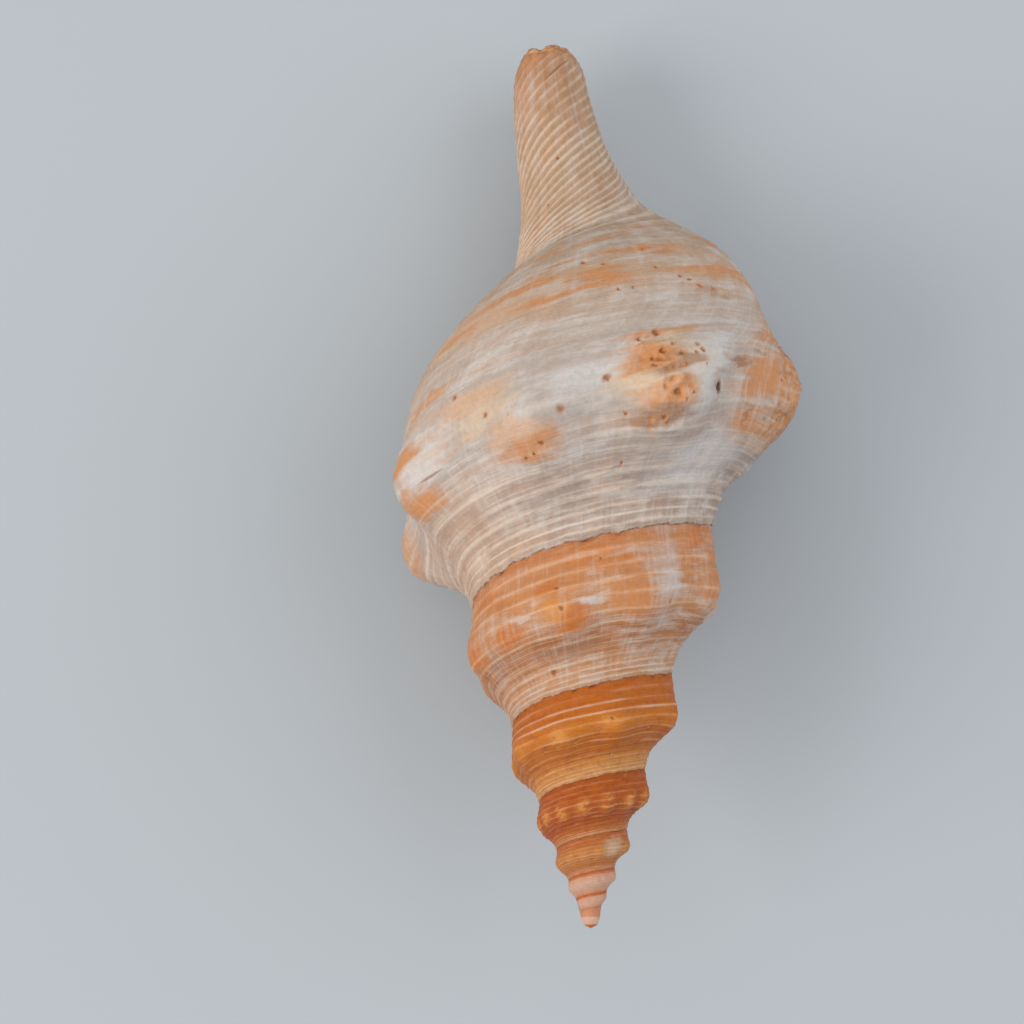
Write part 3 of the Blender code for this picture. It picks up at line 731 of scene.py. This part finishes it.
def canal_tip_faces(net, lay, grid, outer, inner):
    """The rim of the open channel and the worn face of the canal's tip."""
    mouth = lay.last - int(round(CHANNEL_TURNS * COLUMNS))
    turn = LIP_ANGLE / 360.0
    tips = [grid[i][lay.end] for i in range(lay.first_base, lay.last + 1, 2)]
    closed = (mouth - lay.first_base) // 2
    channel = [outer[i][-1] for i in range(mouth, lay.last + 1, COARSEST)]
    net.bridge(channel, tips[closed:], turn, PROFILE_END)
    floor = [inner[i][-1] for i in range(mouth, lay.last + 1, COARSEST)]
    loop = tips[:closed + 1] + [channel[0]] + floor[:-1]
    rim = np.array([net.points[k] for k in loop])
    centre = to_space(360.0 * LEFT_TURN, SHELL_LENGTH - TIP_FACE_MIDDLE, CANAL_TIP_OFFSET)
    sunk = centre + (rim - centre) * TIP_FACE_SHARE
    rough = TIP_FACE_ROUGHNESS * wander(np.arange(len(loop)) * 0.5, 8)
    sunk[:, 1] = np.minimum(rim[:, 1], SHELL_LENGTH) - TIP_FACE_DEPTH - rough
    ring = net.add(sunk, edge=1.0)
    count = len(loop)
    for k in range(count):
        net.plain([loop[k], loop[(k + 1) % count], ring[(k + 1) % count], ring[k]], turn, PROFILE_END)
    middle = net.add(centre - np.array([0.0, TIP_FACE_DIMPLE, 0.0]), edge=1.0)[0]
    net.fan(middle, ring + [ring[0]], turn, PROFILE_END)


def nose_faces(net, lay, grid):
    """The rounded apex."""
    turn = column_turn(0, lay.last)
    starts = [grid[i][0] for i in range(0, COLUMNS + 1, COARSEST)]
    points = np.array([net.points[k] for k in starts[:-1]])
    angle = np.degrees(np.arctan2(points[:, 0], points[:, 2]))
    before = starts
    for k, (radius, height) in enumerate(NOSE_RINGS):
        ring = net.add(to_space(angle, np.full(len(points), height), radius))
        ring.append(ring[0])
        for j in range(len(ring) - 1):
            net.plain([before[j], before[j + 1], ring[j + 1], ring[j]], turn, 0.1 + 0.35 * k)
        if k == 0:
            net.fan(ring[0], [grid[0][r] for r in range(lay.suture + 1)], turn, 0.5)
        before = ring
    tip = net.add([0.0, NOSE_HEIGHT, 0.0])[0]
    net.fan(tip, before, turn, 0.9)


def lay_shell(sizes):
    net, lay = Net(), Layout()
    grid = lay_skin(net, lay, sizes)
    skin_faces(net, lay, grid)
    outer, inner = lay_tube(net, lay, grid)
    tube_faces(net, lay, outer, inner)
    lip_faces(net, lay, grid, outer, inner)
    canal_tip_faces(net, lay, grid, outer, inner)
    nose_faces(net, lay, grid)
    return net


def stand(points):
    """Turns the shell to the way it lies and sets it in the frame, in metres."""
    turn = np.array([[1, 0, 0], [0, math.cos(PITCH), -math.sin(PITCH)],
                     [0, math.sin(PITCH), math.cos(PITCH)]])
    placed = points @ turn.T * MM + FRAME_SHIFT
    placed[:, 2] = np.maximum(placed[:, 2], 0.0)
    return placed


def shell_mesh(sizes):
    net = lay_shell(sizes)
    data = bpy.data.meshes.new("shell_skin")
    data.from_pydata(stand(np.array(net.points)).tolist(), [], net.faces)
    turns = np.array([c[0] for face in net.corners for c in face], np.float32)
    rows = np.array([c[1] for face in net.corners for c in face], np.float32)
    for name, values in (("turn", turns), ("place", rows)):
        data.attributes.new(name, "FLOAT", "CORNER").data.foreach_set("value", values)
    for name in ("knob", "cord", "inside", "edge"):
        values = np.array(getattr(net, name), np.float32)
        data.attributes.new(name, "FLOAT", "POINT").data.foreach_set("value", values)
    data.attributes.new("pit", "FLOAT", "POINT")
    return data


def tint(red, green, blue):
    """A colour given from 0 to 255, as the linear one that shaders take."""
    parts = [c / 255.0 for c in (red, green, blue)]
    return tuple(c / 12.92 if c <= 0.04045 else ((c + 0.055) / 1.055) ** 2.4 for c in parts) + (1.0,)


class Paint:
    """Short calls that lay out the shader nodes of one material."""

    def __init__(self, name):
        self.material = bpy.data.materials.new(name)
        self.material.use_nodes = True
        self.tree = self.material.node_tree
        self.surface = self.tree.nodes["Principled BSDF"]
        self.count = 0

    def node(self, kind, values=(), **settings):
        node = self.tree.nodes.new(kind)
        node.location = (-220 * (1 + self.count // 12), -160 * (self.count % 12))
        self.count += 1
        for name, setting in settings.items():
            setattr(node, name, setting)
        for key, value in dict(values).items():
            self.put(value, node.inputs[key])
        return node

    def put(self, value, socket):
        if isinstance(value, bpy.types.NodeSocket):
            self.tree.links.new(value, socket)
        else:
            socket.default_value = value

    def mask(self, name):
        return self.node("ShaderNodeAttribute", attribute_name=name).outputs["Fac"]

    def math(self, operation, *values, clamp=False):
        return self.node("ShaderNodeMath", enumerate(values), operation=operation, use_clamp=clamp).outputs[0]

    def vector(self, operation, *values):
        return self.node("ShaderNodeVectorMath", enumerate(values), operation=operation)

    def product(self, first, *others):
        for value in others:
            first = self.math("MULTIPLY", first, value)
        return first

    def rise(self, value, low, high, start=0.0, end=1.0):
        """start below low, end above high, and a smooth rise between; low may lie above high."""
        if low > high:
            low, high, start, end = high, low, end, start
        values = {"Value": value, "From Min": low, "From Max": high, "To Min": start, "To Max": end}
        return self.node("ShaderNodeMapRange", values, interpolation_type="SMOOTHSTEP").outputs[0]

    def place_vector(self, along, across, along_pace, across_pace, seed):
        values = {"X": self.product(along, along_pace), "Y": self.product(across, across_pace), "Z": seed}
        return self.node("ShaderNodeCombineXYZ", values).outputs[0]

    def grain(self, vector, scale=1.0, detail=2.0, roughness=0.5):
        values = {"Vector": vector, "Scale": scale, "Detail": detail, "Roughness": roughness}
        return self.node("ShaderNodeTexNoise", values).outputs[0]

    def band(self, value, stops):
        """Colour by value, through stops of position and colour."""
        node = self.node("ShaderNodeValToRGB", {"Fac": value})
        ramp = node.color_ramp
        ramp.elements[0].position, ramp.elements[0].color = stops[0]
        ramp.elements[1].position, ramp.elements[1].color = stops[-1]
        for position, colour in stops[1:-1]:
            ramp.elements.new(position).color = colour
        return node.outputs["Color"]

    def lay(self, share, under, over, blend="MIX"):
        node = self.node("ShaderNodeMix", data_type="RGBA", blend_type=blend)
        self.put(share, node.inputs[0])
        self.put(under, node.inputs[6])
        self.put(over, node.inputs[7])
        return node.outputs[2]

    def spot(self, vector, angle, place, wide, tall):
        """Share of a patch centred at an angle and a place, with its half sizes there."""
        moved = self.vector("ADD", vector, (-angle, -place * 100.0, 0.0)).outputs[0]
        sized = self.vector("MULTIPLY", moved, (1.0 / wide, 0.01 / tall, 0.0)).outputs[0]
        far = self.vector("LENGTH", sized).outputs["Value"]
        return self.rise(far, 1.15, 0.35)


class ShellPaint(Paint):
    """The shell's paint: its masks and noises, and coats laid one over another."""

    def __init__(self, colours):
        super().__init__("worn_shell")
        self.colours = colours
        self.turn, self.place = self.mask("turn"), self.mask("place")
        self.cord, self.knob, self.pit = self.mask("cord"), self.mask("knob"), self.mask("pit")
        self.inside, self.edge = self.mask("inside"), self.mask("edge")
        self.point = self.node("ShaderNodeTexCoord").outputs["Object"]
        self.body = self.turns(-0.75, -0.55)
        self.thin = self.streaks(26.0, 34.0, 0.0, 3.0, 0.55)
        self.broad = self.streaks(11.0, 15.0, 4.0, 3.0, 0.6)
        self.blotch = self.streaks(30.0, 12.0, 9.0, 3.0, 0.6)
        self.cloud = self.streaks(16.0, 9.0, 8.0, 4.0, 0.6)
        self.rough = self.grain(self.point, scale=420.0, detail=4.0, roughness=0.7)
        self.level = self.place_vector(self.turn, self.place, 360.0, 100.0, 0.0)
        self.colour = self.grounds()

    def turns(self, low, high, start=0.0, end=1.0):
        return self.rise(self.turn, low, high, start, end)

    def places(self, low, high, start=0.0, end=1.0):
        return self.rise(self.place, low, high, start, end)

    def streaks(self, along, across, seed, detail=2.0, roughness=0.5):
        """Noise by turn and place, with its pace along the whorls and across them."""
        return self.grain(self.place_vector(self.turn, self.place, along, across, seed),
                          detail=detail, roughness=roughness)

    def largest(self, first, *others):
        for value in others:
            first = self.math("MAXIMUM", first, value)
        return first

    def total(self, first, *others):
        for value in others:
            first = self.math("ADD", first, value)
        return first

    def named(self, name):
        return tuple(getattr(self.colours, name))

    def cover(self, over, *shares, blend="MIX"):
        """Lays a colour over all so far, by the product of the shares."""
        self.colour = self.lay(self.product(*shares), self.colour, over, blend)

    def coat(self, name, *shares, blend="MIX"):
        self.cover(self.named(name), *shares, blend=blend)

    def spots(self, vector, table):
        """Lays the patches or marks of a table."""
        for *shape, name, strength in table:
            self.coat(name, self.spot(vector, *shape), strength)

    def grounds(self):
        """Ground colour by place on each whorl, and by whorl from the lip to the apex."""
        half = self.product(self.place, 0.5)
        bands = [self.band(half if k == 0 else self.place, [(p, tint(*c)) for p, c in stops])
                 for k, stops in enumerate(GROUNDS)]
        colour = bands[0]
        for band, change in zip(bands[1:], GROUND_CHANGES):
            older = self.turns(change + GROUND_BLUR, change - GROUND_BLUR)
            colour = self.lay(older, colour, band)
        return colour


def paint_streaks(paint):
    """Pale spiral clouds, then orange streaks, strongest on the base and on the second whorl."""
    cloudy = paint.total(paint.product(paint.thin, 0.4), paint.product(paint.cloud, 0.6))
    paint.coat("pale", paint.rise(cloudy, 0.43, 0.62), paint.places(1.75, 1.5, 0.3, 0.7),
               paint.turns(-0.65, -1.5, 1.0, 0.04))
    base = paint.product(paint.places(1.0, 1.12), paint.places(1.6, 1.34), paint.body, 0.9)
    second = paint.product(paint.turns(-0.55, -0.8), paint.turns(-1.7, -1.5), paint.places(0.42, 0.62), 0.7)
    anywhere = paint.turns(-1.7, -1.5, 0.0, 0.16)
    paint.coat("orange", paint.largest(base, second, anywhere), paint.rise(paint.broad, 0.5, 0.62))
    paint.coat("peach", paint.rise(paint.blotch, 0.56, 0.7), paint.turns(-0.9, -1.6, 0.4, 0.0))


def paint_sides(paint):
    """Mottling of the older whorls, then the warm left side and the orange of the lip."""
    paint.coat("stain", paint.rise(paint.blotch, 0.48, 0.66), paint.turns(-1.5, -1.8),
               paint.turns(-4.5, -4.1), 0.6, blend="MULTIPLY")
    paint.coat("peach", paint.turns(-0.02, -0.16), paint.places(0.5, 0.34), paint.body, 0.45)
    paint.coat("peach", paint.turns(-0.06, -0.2), paint.places(0.42, 0.62), paint.body,
               paint.rise(paint.broad, 0.42, 0.6), 0.62)
    paint.coat("orange", paint.turns(0.12, 0.16), paint.places(0.3, 0.42), paint.places(1.2, 0.85),
               paint.rise(paint.streaks(9.0, 26.0, 7.0), 0.34, 0.52), 0.85)


def paint_shades(paint):
    """Broad shades across the streaks, left by earlier lips."""
    across = paint.streaks(48.0, 4.0, 1.0, 3.0, 0.55)
    shades = paint.band(across, [(0.34, paint.named("shade")), (0.64, BRIGHTER)])
    paint.cover(shades, paint.turns(-1.7, -1.4, 0.25, 0.6), blend="MULTIPLY")


def paint_patches(paint):
    """Amber knobs and pale threads of the older whorls, then the patches, drawn out by the streaks."""
    paint.coat("amber", paint.rise(paint.knob, 0.15, 0.95), paint.turns(-1.7, -2.6),
               paint.turns(-4.4, -3.9), paint.rise(paint.blotch, 0.42, 0.6, 0.1, 0.85))
    threads = paint.math("SINE", paint.product(paint.place, 2.0 * math.pi / THREAD_SPACING))
    paint.coat("crest", paint.rise(threads, 0.45, 0.95), paint.places(0.62, 0.4, 0.08, 0.5),
               paint.places(1.0, 0.99), paint.rise(paint.thin, 0.35, 0.5),
               paint.turns(-1.3, -1.7, 0.55, 0.22))
    stray = paint.place_vector(paint.math("SUBTRACT", paint.broad, 0.5),
                               paint.math("SUBTRACT", paint.blotch, 0.5), *PATCH_STRAY, 0.0)
    paint.spots(paint.vector("ADD", paint.level, stray).outputs[0], PATCHES)


def paint_cords(paint):
    """Cords are pale on their crests; the hollows between them are darker on the ramp and the canal: a darker
    tan and painted shade.
    """
    hollow = paint.largest(paint.places(1.45, 1.62, 0.0, 0.65), paint.product(paint.places(0.45, 0.3), 0.22),
                           paint.product(paint.turns(-0.6, -0.9), 0.7))
    # Painted shade: the hollows between the cords get a darker tan that also darkens them as shade would
    paint.coat("groove_tan_and_shade", paint.math("SUBTRACT", 1.0, paint.cord, clamp=True), hollow, 0.38, blend="MULTIPLY")
    crest = paint.product(paint.turns(-0.6, -1.6, 0.6, 0.26), paint.places(0.4, 0.6, 1.0, 0.75),
                          paint.turns(-0.55, -0.75, 1.0, 0.75))
    third = paint.product(paint.turns(-1.4, -1.7, 0.0, 0.36), paint.turns(-2.7, -2.4),
                          paint.places(0.62, 0.66), paint.places(0.8, 0.75))
    paint.coat("crest", paint.rise(paint.cord, 0.4, 0.92), paint.total(crest, third),
               paint.rise(paint.thin, 0.3, 0.55, 0.4, 1.0))


def paint_growth_lines(paint):
    """Pale lines across the whorls, crowded near the lip."""
    near_lip = paint.product(paint.turns(-0.03, 0.15), paint.places(1.15, 0.85), 0.38)
    zone = paint.largest(near_lip, paint.places(1.4, 1.6, 0.1, 0.17), 0.2)
    paint.coat("white", paint.rise(paint.streaks(170.0, 2.4, 2.0), 0.5, 0.64),
               paint.rise(paint.cloud, 0.36, 0.6, 0.15, 0.85), zone, paint.turns(-1.7, -1.4))


def paint_sutures(paint):
    """A broken dark line where each whorl meets the one before: the suture's own darker colour and painted
    shade in its crease.
    """
    ragged = paint.streaks(90.0, 6.0, 6.0, 3.0, 0.7)
    seam = paint.largest(paint.places(0.011, 0.002),
                         paint.product(paint.places(0.985, 0.998), paint.turns(-0.6, -0.73)))
    # Painted shade, partly: the dark line along the suture stands in for the shadow in its crease, as well as
    # its darker colour
    suture_dark_and_shade = paint.band(ragged, [(0.42, paint.named("brown")), (0.68, paint.named("seam"))])
    paint.cover(suture_dark_and_shade, seam, paint.rise(ragged, 0.38, 0.62, 0.3, 0.85))


def paint_pits(paint):
    """Pits with a stained rim and a brown floor that is partly painted shade, then the thin marks."""
    paint.coat("orange", paint.rise(paint.pit, 0.0, 0.5, 0.0, 0.7))
    # Painted shade, partly: the floor of each pit turns brown as it deepens, besides its stain
    paint.coat("brown", paint.rise(paint.pit, 0.45, 1.05, 0.0, 0.8))
    paint.spots(paint.level, MARKS)


def paint_wear(paint):
    """Broken canal tip and lip rim, then the hollow, then fine specks over all."""
    worn = paint.band(paint.rough, [(0.3, paint.named("seam")), (0.42, paint.named("brown")),
                                    (0.55, paint.named("broken")), (0.75, paint.named("cream"))])
    margin = paint.product(paint.turns(0.186, 0.205), paint.places(0.3, 0.42), paint.places(0.95, 0.8), 0.42)
    paint.cover(worn, paint.largest(paint.product(paint.edge, 0.85), margin))
    wave = paint.grain(paint.point, scale=60.0, detail=2.0)
    hollow = paint.band(wave, [(0.3, paint.named("inner")), (0.7, paint.named("inner_pale"))])
    paint.cover(hollow, paint.rise(paint.inside, 0.05, 0.6))
    speck = paint.grain(paint.point, scale=900.0, detail=3.0, roughness=0.6)
    paint.cover(paint.band(speck, [(0.25, SPECK_SHADE), (0.6, SPECK_LIGHT)]), 0.5, blend="MULTIPLY")


def paint_gloss(paint):
    """Dull outside, glossier in the hollow."""
    gloss = paint.rise(paint.inside, 0.05, 0.6, 0.0, -0.28)
    dull = paint.rise(paint.rough, 0.3, 0.7, 0.46, 0.62)
    paint.put(paint.total(dull, gloss), paint.surface.inputs["Roughness"])
    paint.put(SHELL_SPECULAR, paint.surface.inputs["Specular IOR Level"])


def paint_bump(paint):
    """Fine threads, scratches and grain that are too small for the mesh."""
    threads = paint.streaks(30.0, 150.0, 3.0)
    scratches = paint.streaks(260.0, 12.0, 5.0)
    grain = paint.grain(paint.point, scale=1500.0, detail=3.0)
    relief = paint.total(paint.product(threads, 0.5), paint.product(scratches, 0.35),
                         paint.product(paint.rough, 0.5), paint.product(grain, 0.3))
    values = {"Strength": BUMP_STRENGTH, "Distance": BUMP_DISTANCE, "Height": relief}
    bump = paint.node("ShaderNodeBump", values)
    paint.put(bump.outputs[0], paint.surface.inputs["Normal"])


def shell_finish(colours):
    paint = ShellPaint(colours)
    for step in (paint_streaks, paint_sides, paint_shades, paint_patches, paint_cords, paint_growth_lines,
                 paint_sutures, paint_pits, paint_wear, paint_gloss, paint_bump):
        step(paint)
    paint.put(paint.colour, paint.surface.inputs["Base Color"])
    return paint.material


def surface_spots(table):
    """For each row of angle, place and width: middle, outward direction and half the width, in metres."""
    spots = []
    for angle, place, width in table:
        turn, place = angle / 360.0, np.array([place])
        height, radius, up, out = (v[0] for v in section(turn, place, turn > LIP_ANGLE / 360.0 - 1.0))
        lift = knob_lift(turn, place)[0][0]
        round_angle = angle + lip_reach(turn, place)[0]
        ends = [to_space(round_angle, height + up * far, radius + out * far) for far in (lift, lift + 1.0)]
        middle, ahead = stand(np.array(ends))
        spots.append((Vector(middle), Vector(ahead - middle).normalized(), 0.5 * width * MM))
    return spots


def vertex_tree(work):
    work.verts.ensure_lookup_table()
    tree = kdtree.KDTree(len(work.verts))
    for k, v in enumerate(work.verts):
        tree.insert(v.co, k)
    tree.balance()
    return tree


def outer_side(work, tree, middle, ahead, reach):
    """Vertices of the wall's outer side within reach of a spot, and how far away each one is."""
    return [(work.verts[k], far) for _, k, far in tree.find_range(middle, reach)
            if work.verts[k].normal.dot(ahead) > OUTWARD]


def refine_surface(work, pits, worn):
    """Cuts the surface finer round the pits, and less so in the deeply worn places."""
    tree = vertex_tree(work)
    fine, broad = set(), set()
    for middle, ahead, radius in pits:
        for v, _ in outer_side(work, tree, middle, ahead, radius * PIT_REFINE_REACH + PIT_REFINE_MARGIN):
            fine.update(v.link_edges)
    for middle, ahead, radius, depth in worn:
        if depth > WORN_REFINE_DEPTH:
            for v, _ in outer_side(work, tree, middle, ahead, radius * WORN_REFINE_REACH):
                broad.update(v.link_edges)
    chosen = [sorted(some, key=lambda e: e.index) for some in (broad - fine, fine)]
    for edges, cuts in zip(chosen, (WORN_REFINE_CUTS, PIT_REFINE_CUTS)):
        bmesh.ops.subdivide_edges(work, edges=edges, cuts=cuts, use_grid_fill=True)
    work.normal_update()


def crumble(work, tree, layer, worn):
    """Roughens the worn places and eats small holes into them."""
    for middle, ahead, radius, depth in worn:
        for v, far in outer_side(work, tree, middle, ahead, radius):
            fade = float(smoothstep(1.0, 0.5, far / radius)) * depth
            rough = 0.8 * noise.fractal(v.co * 300.0, 0.8, 2.1, 4)
            open_here = float(smoothstep(-0.05, 0.25, noise.noise(v.co * 240.0 + Vector((7, 3, 1)))))
            cell = noise.voronoi(v.co * 520.0)[0][0]
            hole = float(smoothstep(0.62, 0.2, cell)) * open_here * min(fade, 1.0)
            v.co += ahead * ((rough * fade - 0.75 * hole * depth) * MM)
            # Holes in the deeply worn places go into the pit layer, which paints them brown, partly as
            # painted shade
            if depth > WORN_REFINE_DEPTH:
                v[layer] = max(v[layer], 0.8 * hole)


def bore_pits(work, tree, layer, pits, depth):
    """Pushes the floor of each pit in, inside an uneven rim."""
    for n, (middle, ahead, radius) in enumerate(pits):
        side = ahead.orthogonal().normalized()
        other = ahead.cross(side)
        for _, k, _ in tree.find_range(middle, radius * PIT_REACH):
            v = work.verts[k]
            away = v.co - middle
            x, y = away.dot(side), away.dot(other)
            way = math.atan2(y, x)
            edge = radius * (1.0 + 0.12 * math.sin(2 * way + n) + 0.08 * math.sin(3 * way + 2 * n))
            bowl = 1.0 - float(smoothstep(0.45, 1.0, math.hypot(x, y) / edge))
            if bowl > 0.0:
                v.co -= ahead * bowl * radius * 2.0 * depth
                v[layer] = max(v[layer], bowl)


def wear_surface(work, sizes):
    pits = surface_spots(PITS)
    worn = [spot + (row[3],) for spot, row in zip(surface_spots([row[:3] for row in WORN]), WORN)]
    refine_surface(work, pits, worn)
    tree = vertex_tree(work)
    layer = work.verts.layers.float["pit"]
    crumble(work, tree, layer, worn)
    bore_pits(work, tree, layer, pits, sizes.pit_depth)


def build_shell(sizes):
    data = shell_mesh(sizes)
    work = bmesh.new()
    work.from_mesh(data)
    bmesh.ops.recalc_face_normals(work, faces=work.faces)
    work.normal_update()
    wear_surface(work, sizes)
    bmesh.ops.triangulate(work, faces=[f for f in work.faces if len(f.verts) > 4])
    work.to_mesh(data)
    work.free()
    data.shade_smooth()
    data.materials.append(shell_finish(bpy.context.scene.conch_colours))
    piece = bpy.data.objects.new("shell_skin", data)
    bpy.context.scene.collection.objects.link(piece)
    return piece


def colour_property(label, note, red, green, blue):
    return bpy.props.FloatVectorProperty(name=label, description=note, subtype="COLOR", size=4,
                                         min=0.0, max=1.0, default=tint(red, green, blue))


class ConchColours(bpy.types.PropertyGroup):
    """Colours of the shell's markings."""
    pale: colour_property("Pale", "Chalky cream of the worn wall", 208, 198, 190)
    crest: colour_property("Crest", "Crests of the spiral cords", 226, 206, 186)
    orange: colour_property("Orange", "Streaks and patches", 204, 138, 86)
    deep: colour_property("Deep orange", "Strongest patches", 206, 118, 48)
    peach: colour_property("Peach", "Soft patches", 210, 168, 136)
    amber: colour_property("Amber", "Knobs of the older whorls", 224, 148, 66)
    white: colour_property("White", "Whitest worn places", 214, 209, 205)
    mauve: colour_property("Mauve", "Dull patches on the ramp", 168, 120, 88)
    cream: colour_property("Cream", "Worn knobs", 214, 186, 156)
    # Brown also darkens the floors of the pits, partly as painted shade
    brown: colour_property("Brown", "Stains beside the lip", 152, 100, 64)
    stain: colour_property("Stain", "Darkens the blotches of the older whorls", 226, 206, 176)
    broken: colour_property("Broken", "Broken edges of the canal tip and the lip", 208, 148, 98)
    shade: colour_property("Shade", "Darkens the broad bands across the streaks", 238, 230, 222)
    # This colour darkens the hollows between the cords: their darker tan, with painted shade
    groove_tan_and_shade: colour_property("Groove", "Hollows between the cords", 176, 140, 112)
    # Seam and brown also paint the suture line, which is partly painted shade in its crease
    seam: colour_property("Seam", "Sutures and pits", 92, 62, 46)
    inner: colour_property("Inner wall", "Deep part of the hollow", 214, 140, 96)
    inner_pale: colour_property("Inner wall, pale", "Hollow beside the lip", 236, 196, 168)


class ConchSizes(bpy.types.PropertyGroup):
    """Relief of the shell's surface."""
    cord_height: bpy.props.FloatProperty(
        name="Cord height", description="Height of the spiral cords on the canal", default=0.0005,
        unit="LENGTH")
    growth_line_depth: bpy.props.FloatProperty(
        name="Growth line depth", description="Height of the ridges along the lip", default=0.0003,
        unit="LENGTH")
    suture_step: bpy.props.FloatProperty(
        name="Suture step", description="Step where one whorl overlaps the one before", default=0.0005,
        unit="LENGTH")
    pit_depth: bpy.props.FloatProperty(
        name="Pit depth", description="Depth of a pit as a share of its width", default=0.34, unit="NONE")


class ConchStage(bpy.types.PropertyGroup):
    """Floor, lights and surroundings."""
    floor_colour: colour_property("Floor", "Colour of the plain floor", 179, 184, 188)
    floor_size: bpy.props.FloatProperty(
        name="Floor size", description="Length of each side of the floor", default=40.0, unit="LENGTH")
    window_power: bpy.props.FloatProperty(
        name="Window light", description="Power of the light from the left", default=16.5, unit="POWER")
    window_size: bpy.props.FloatProperty(
        name="Window size", description="Width of the light from the left", default=1.0, unit="LENGTH")
    fill_power: bpy.props.FloatProperty(
        name="Fill light", description="Power of the light from the right", default=13.5, unit="POWER")
    fill_size: bpy.props.FloatProperty(
        name="Fill size", description="Width of the light from the right", default=1.8, unit="LENGTH")
    ceiling_power: bpy.props.FloatProperty(
        name="Ceiling light", description="Power of the light from above", default=9.0, unit="POWER")
    ceiling_size: bpy.props.FloatProperty(
        name="Ceiling size", description="Width of the light from above", default=2.4, unit="LENGTH")
    sky: bpy.props.FloatProperty(
        name="Sky", description="Strength of the light from all round", default=0.47, unit="NONE")


def build_floor(scene, stage):
    far = stage.floor_size / 2.0
    data = bpy.data.meshes.new("floor")
    data.from_pydata([(-far, -far, 0), (far, -far, 0), (far, far, 0), (-far, far, 0)], [], [(0, 1, 2, 3)])
    paint = Paint("floor_paint")
    paint.put(tuple(stage.floor_colour), paint.surface.inputs["Base Color"])
    paint.put(FLOOR_ROUGHNESS, paint.surface.inputs["Roughness"])
    data.materials.append(paint.material)
    floor = bpy.data.objects.new("floor", data)
    scene.collection.objects.link(floor)


def build_lights(scene, stage):
    for name, (place, colour) in LIGHTS.items():
        light = bpy.data.objects.new(name, bpy.data.lights.new(name, "AREA"))
        light.data.energy = getattr(stage, name + "_power")
        light.data.size = getattr(stage, name + "_size")
        light.data.color = colour
        light.location = place
        light.rotation_euler = (-light.location).to_track_quat("-Z", "Y").to_euler()
        scene.collection.objects.link(light)


def build_world(scene, stage):
    world = bpy.data.worlds.new("studio")
    world.use_nodes = True
    sky = world.node_tree.nodes["Background"]
    sky.inputs["Color"].default_value = SKY_COLOUR
    sky.inputs["Strength"].default_value = stage.sky
    scene.world = world


def build_camera(scene):
    camera = bpy.data.objects.new("camera", bpy.data.cameras.new("camera"))
    camera.data.lens = CAMERA_LENS
    right, forward = Vector(CAMERA_RIGHT), Vector(CAMERA_FORWARD)
    facing = Matrix((right, right.cross(forward), -forward)).transposed().to_4x4()
    camera.matrix_world = Matrix.Translation(CAMERA_PLACE) @ facing
    scene.collection.objects.link(camera)
    scene.camera = camera


class BuildShell(bpy.types.Operator):
    """Build the shell's fine mesh and its finish"""
    bl_idname = "conch.build_shell"
    bl_label = "Build the shell"

    def execute(self, context):
        piece = build_shell(context.scene.conch_sizes)
        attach(piece, "root")
        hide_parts("shell")
        return {"FINISHED"}


class BuildStage(bpy.types.Operator):
    """Build the floor, the lights and the camera"""
    bl_idname = "conch.build_stage"
    bl_label = "Build the stage"

    def execute(self, context):
        scene, stage = context.scene, context.scene.conch_stage
        build_floor(scene, stage)
        build_lights(scene, stage)
        build_world(scene, stage)
        build_camera(scene)
        scene.view_settings.view_transform = "Standard"
        return {"FINISHED"}


class ConchPanel(bpy.types.Panel):
    """Settings and builders of the conch shell"""
    bl_idname = "VIEW3D_PT_conch"
    bl_label = "Horse Conch Shell"
    bl_space_type = "VIEW_3D"
    bl_region_type = "UI"
    bl_category = "Conch"

    def draw(self, context):
        for title, group, operator in (("Relief", context.scene.conch_sizes, None),
                                       ("Colours", context.scene.conch_colours, BuildShell.bl_idname),
                                       ("Stage", context.scene.conch_stage, BuildStage.bl_idname)):
            box = self.layout.box()
            box.label(text=title)
            for name in group.__annotations__:
                box.prop(group, name)
            if operator:
                box.operator(operator)


CLASSES = (ConchSizes, ConchColours, ConchStage, BuildShell, BuildStage, ConchPanel)


def register():
    for c in CLASSES:
        bpy.utils.register_class(c)
    bpy.types.Scene.conch_sizes = bpy.props.PointerProperty(type=ConchSizes)
    bpy.types.Scene.conch_colours = bpy.props.PointerProperty(type=ConchColours)
    bpy.types.Scene.conch_stage = bpy.props.PointerProperty(type=ConchStage)


def unregister():
    del bpy.types.Scene.conch_stage
    del bpy.types.Scene.conch_colours
    del bpy.types.Scene.conch_sizes
    for c in reversed(CLASSES):
        bpy.utils.unregister_class(c)


def main():
    register()
    bpy.ops.conch.build_shell()
    bpy.ops.conch.build_stage()


if __name__ == "__main__":
    main()
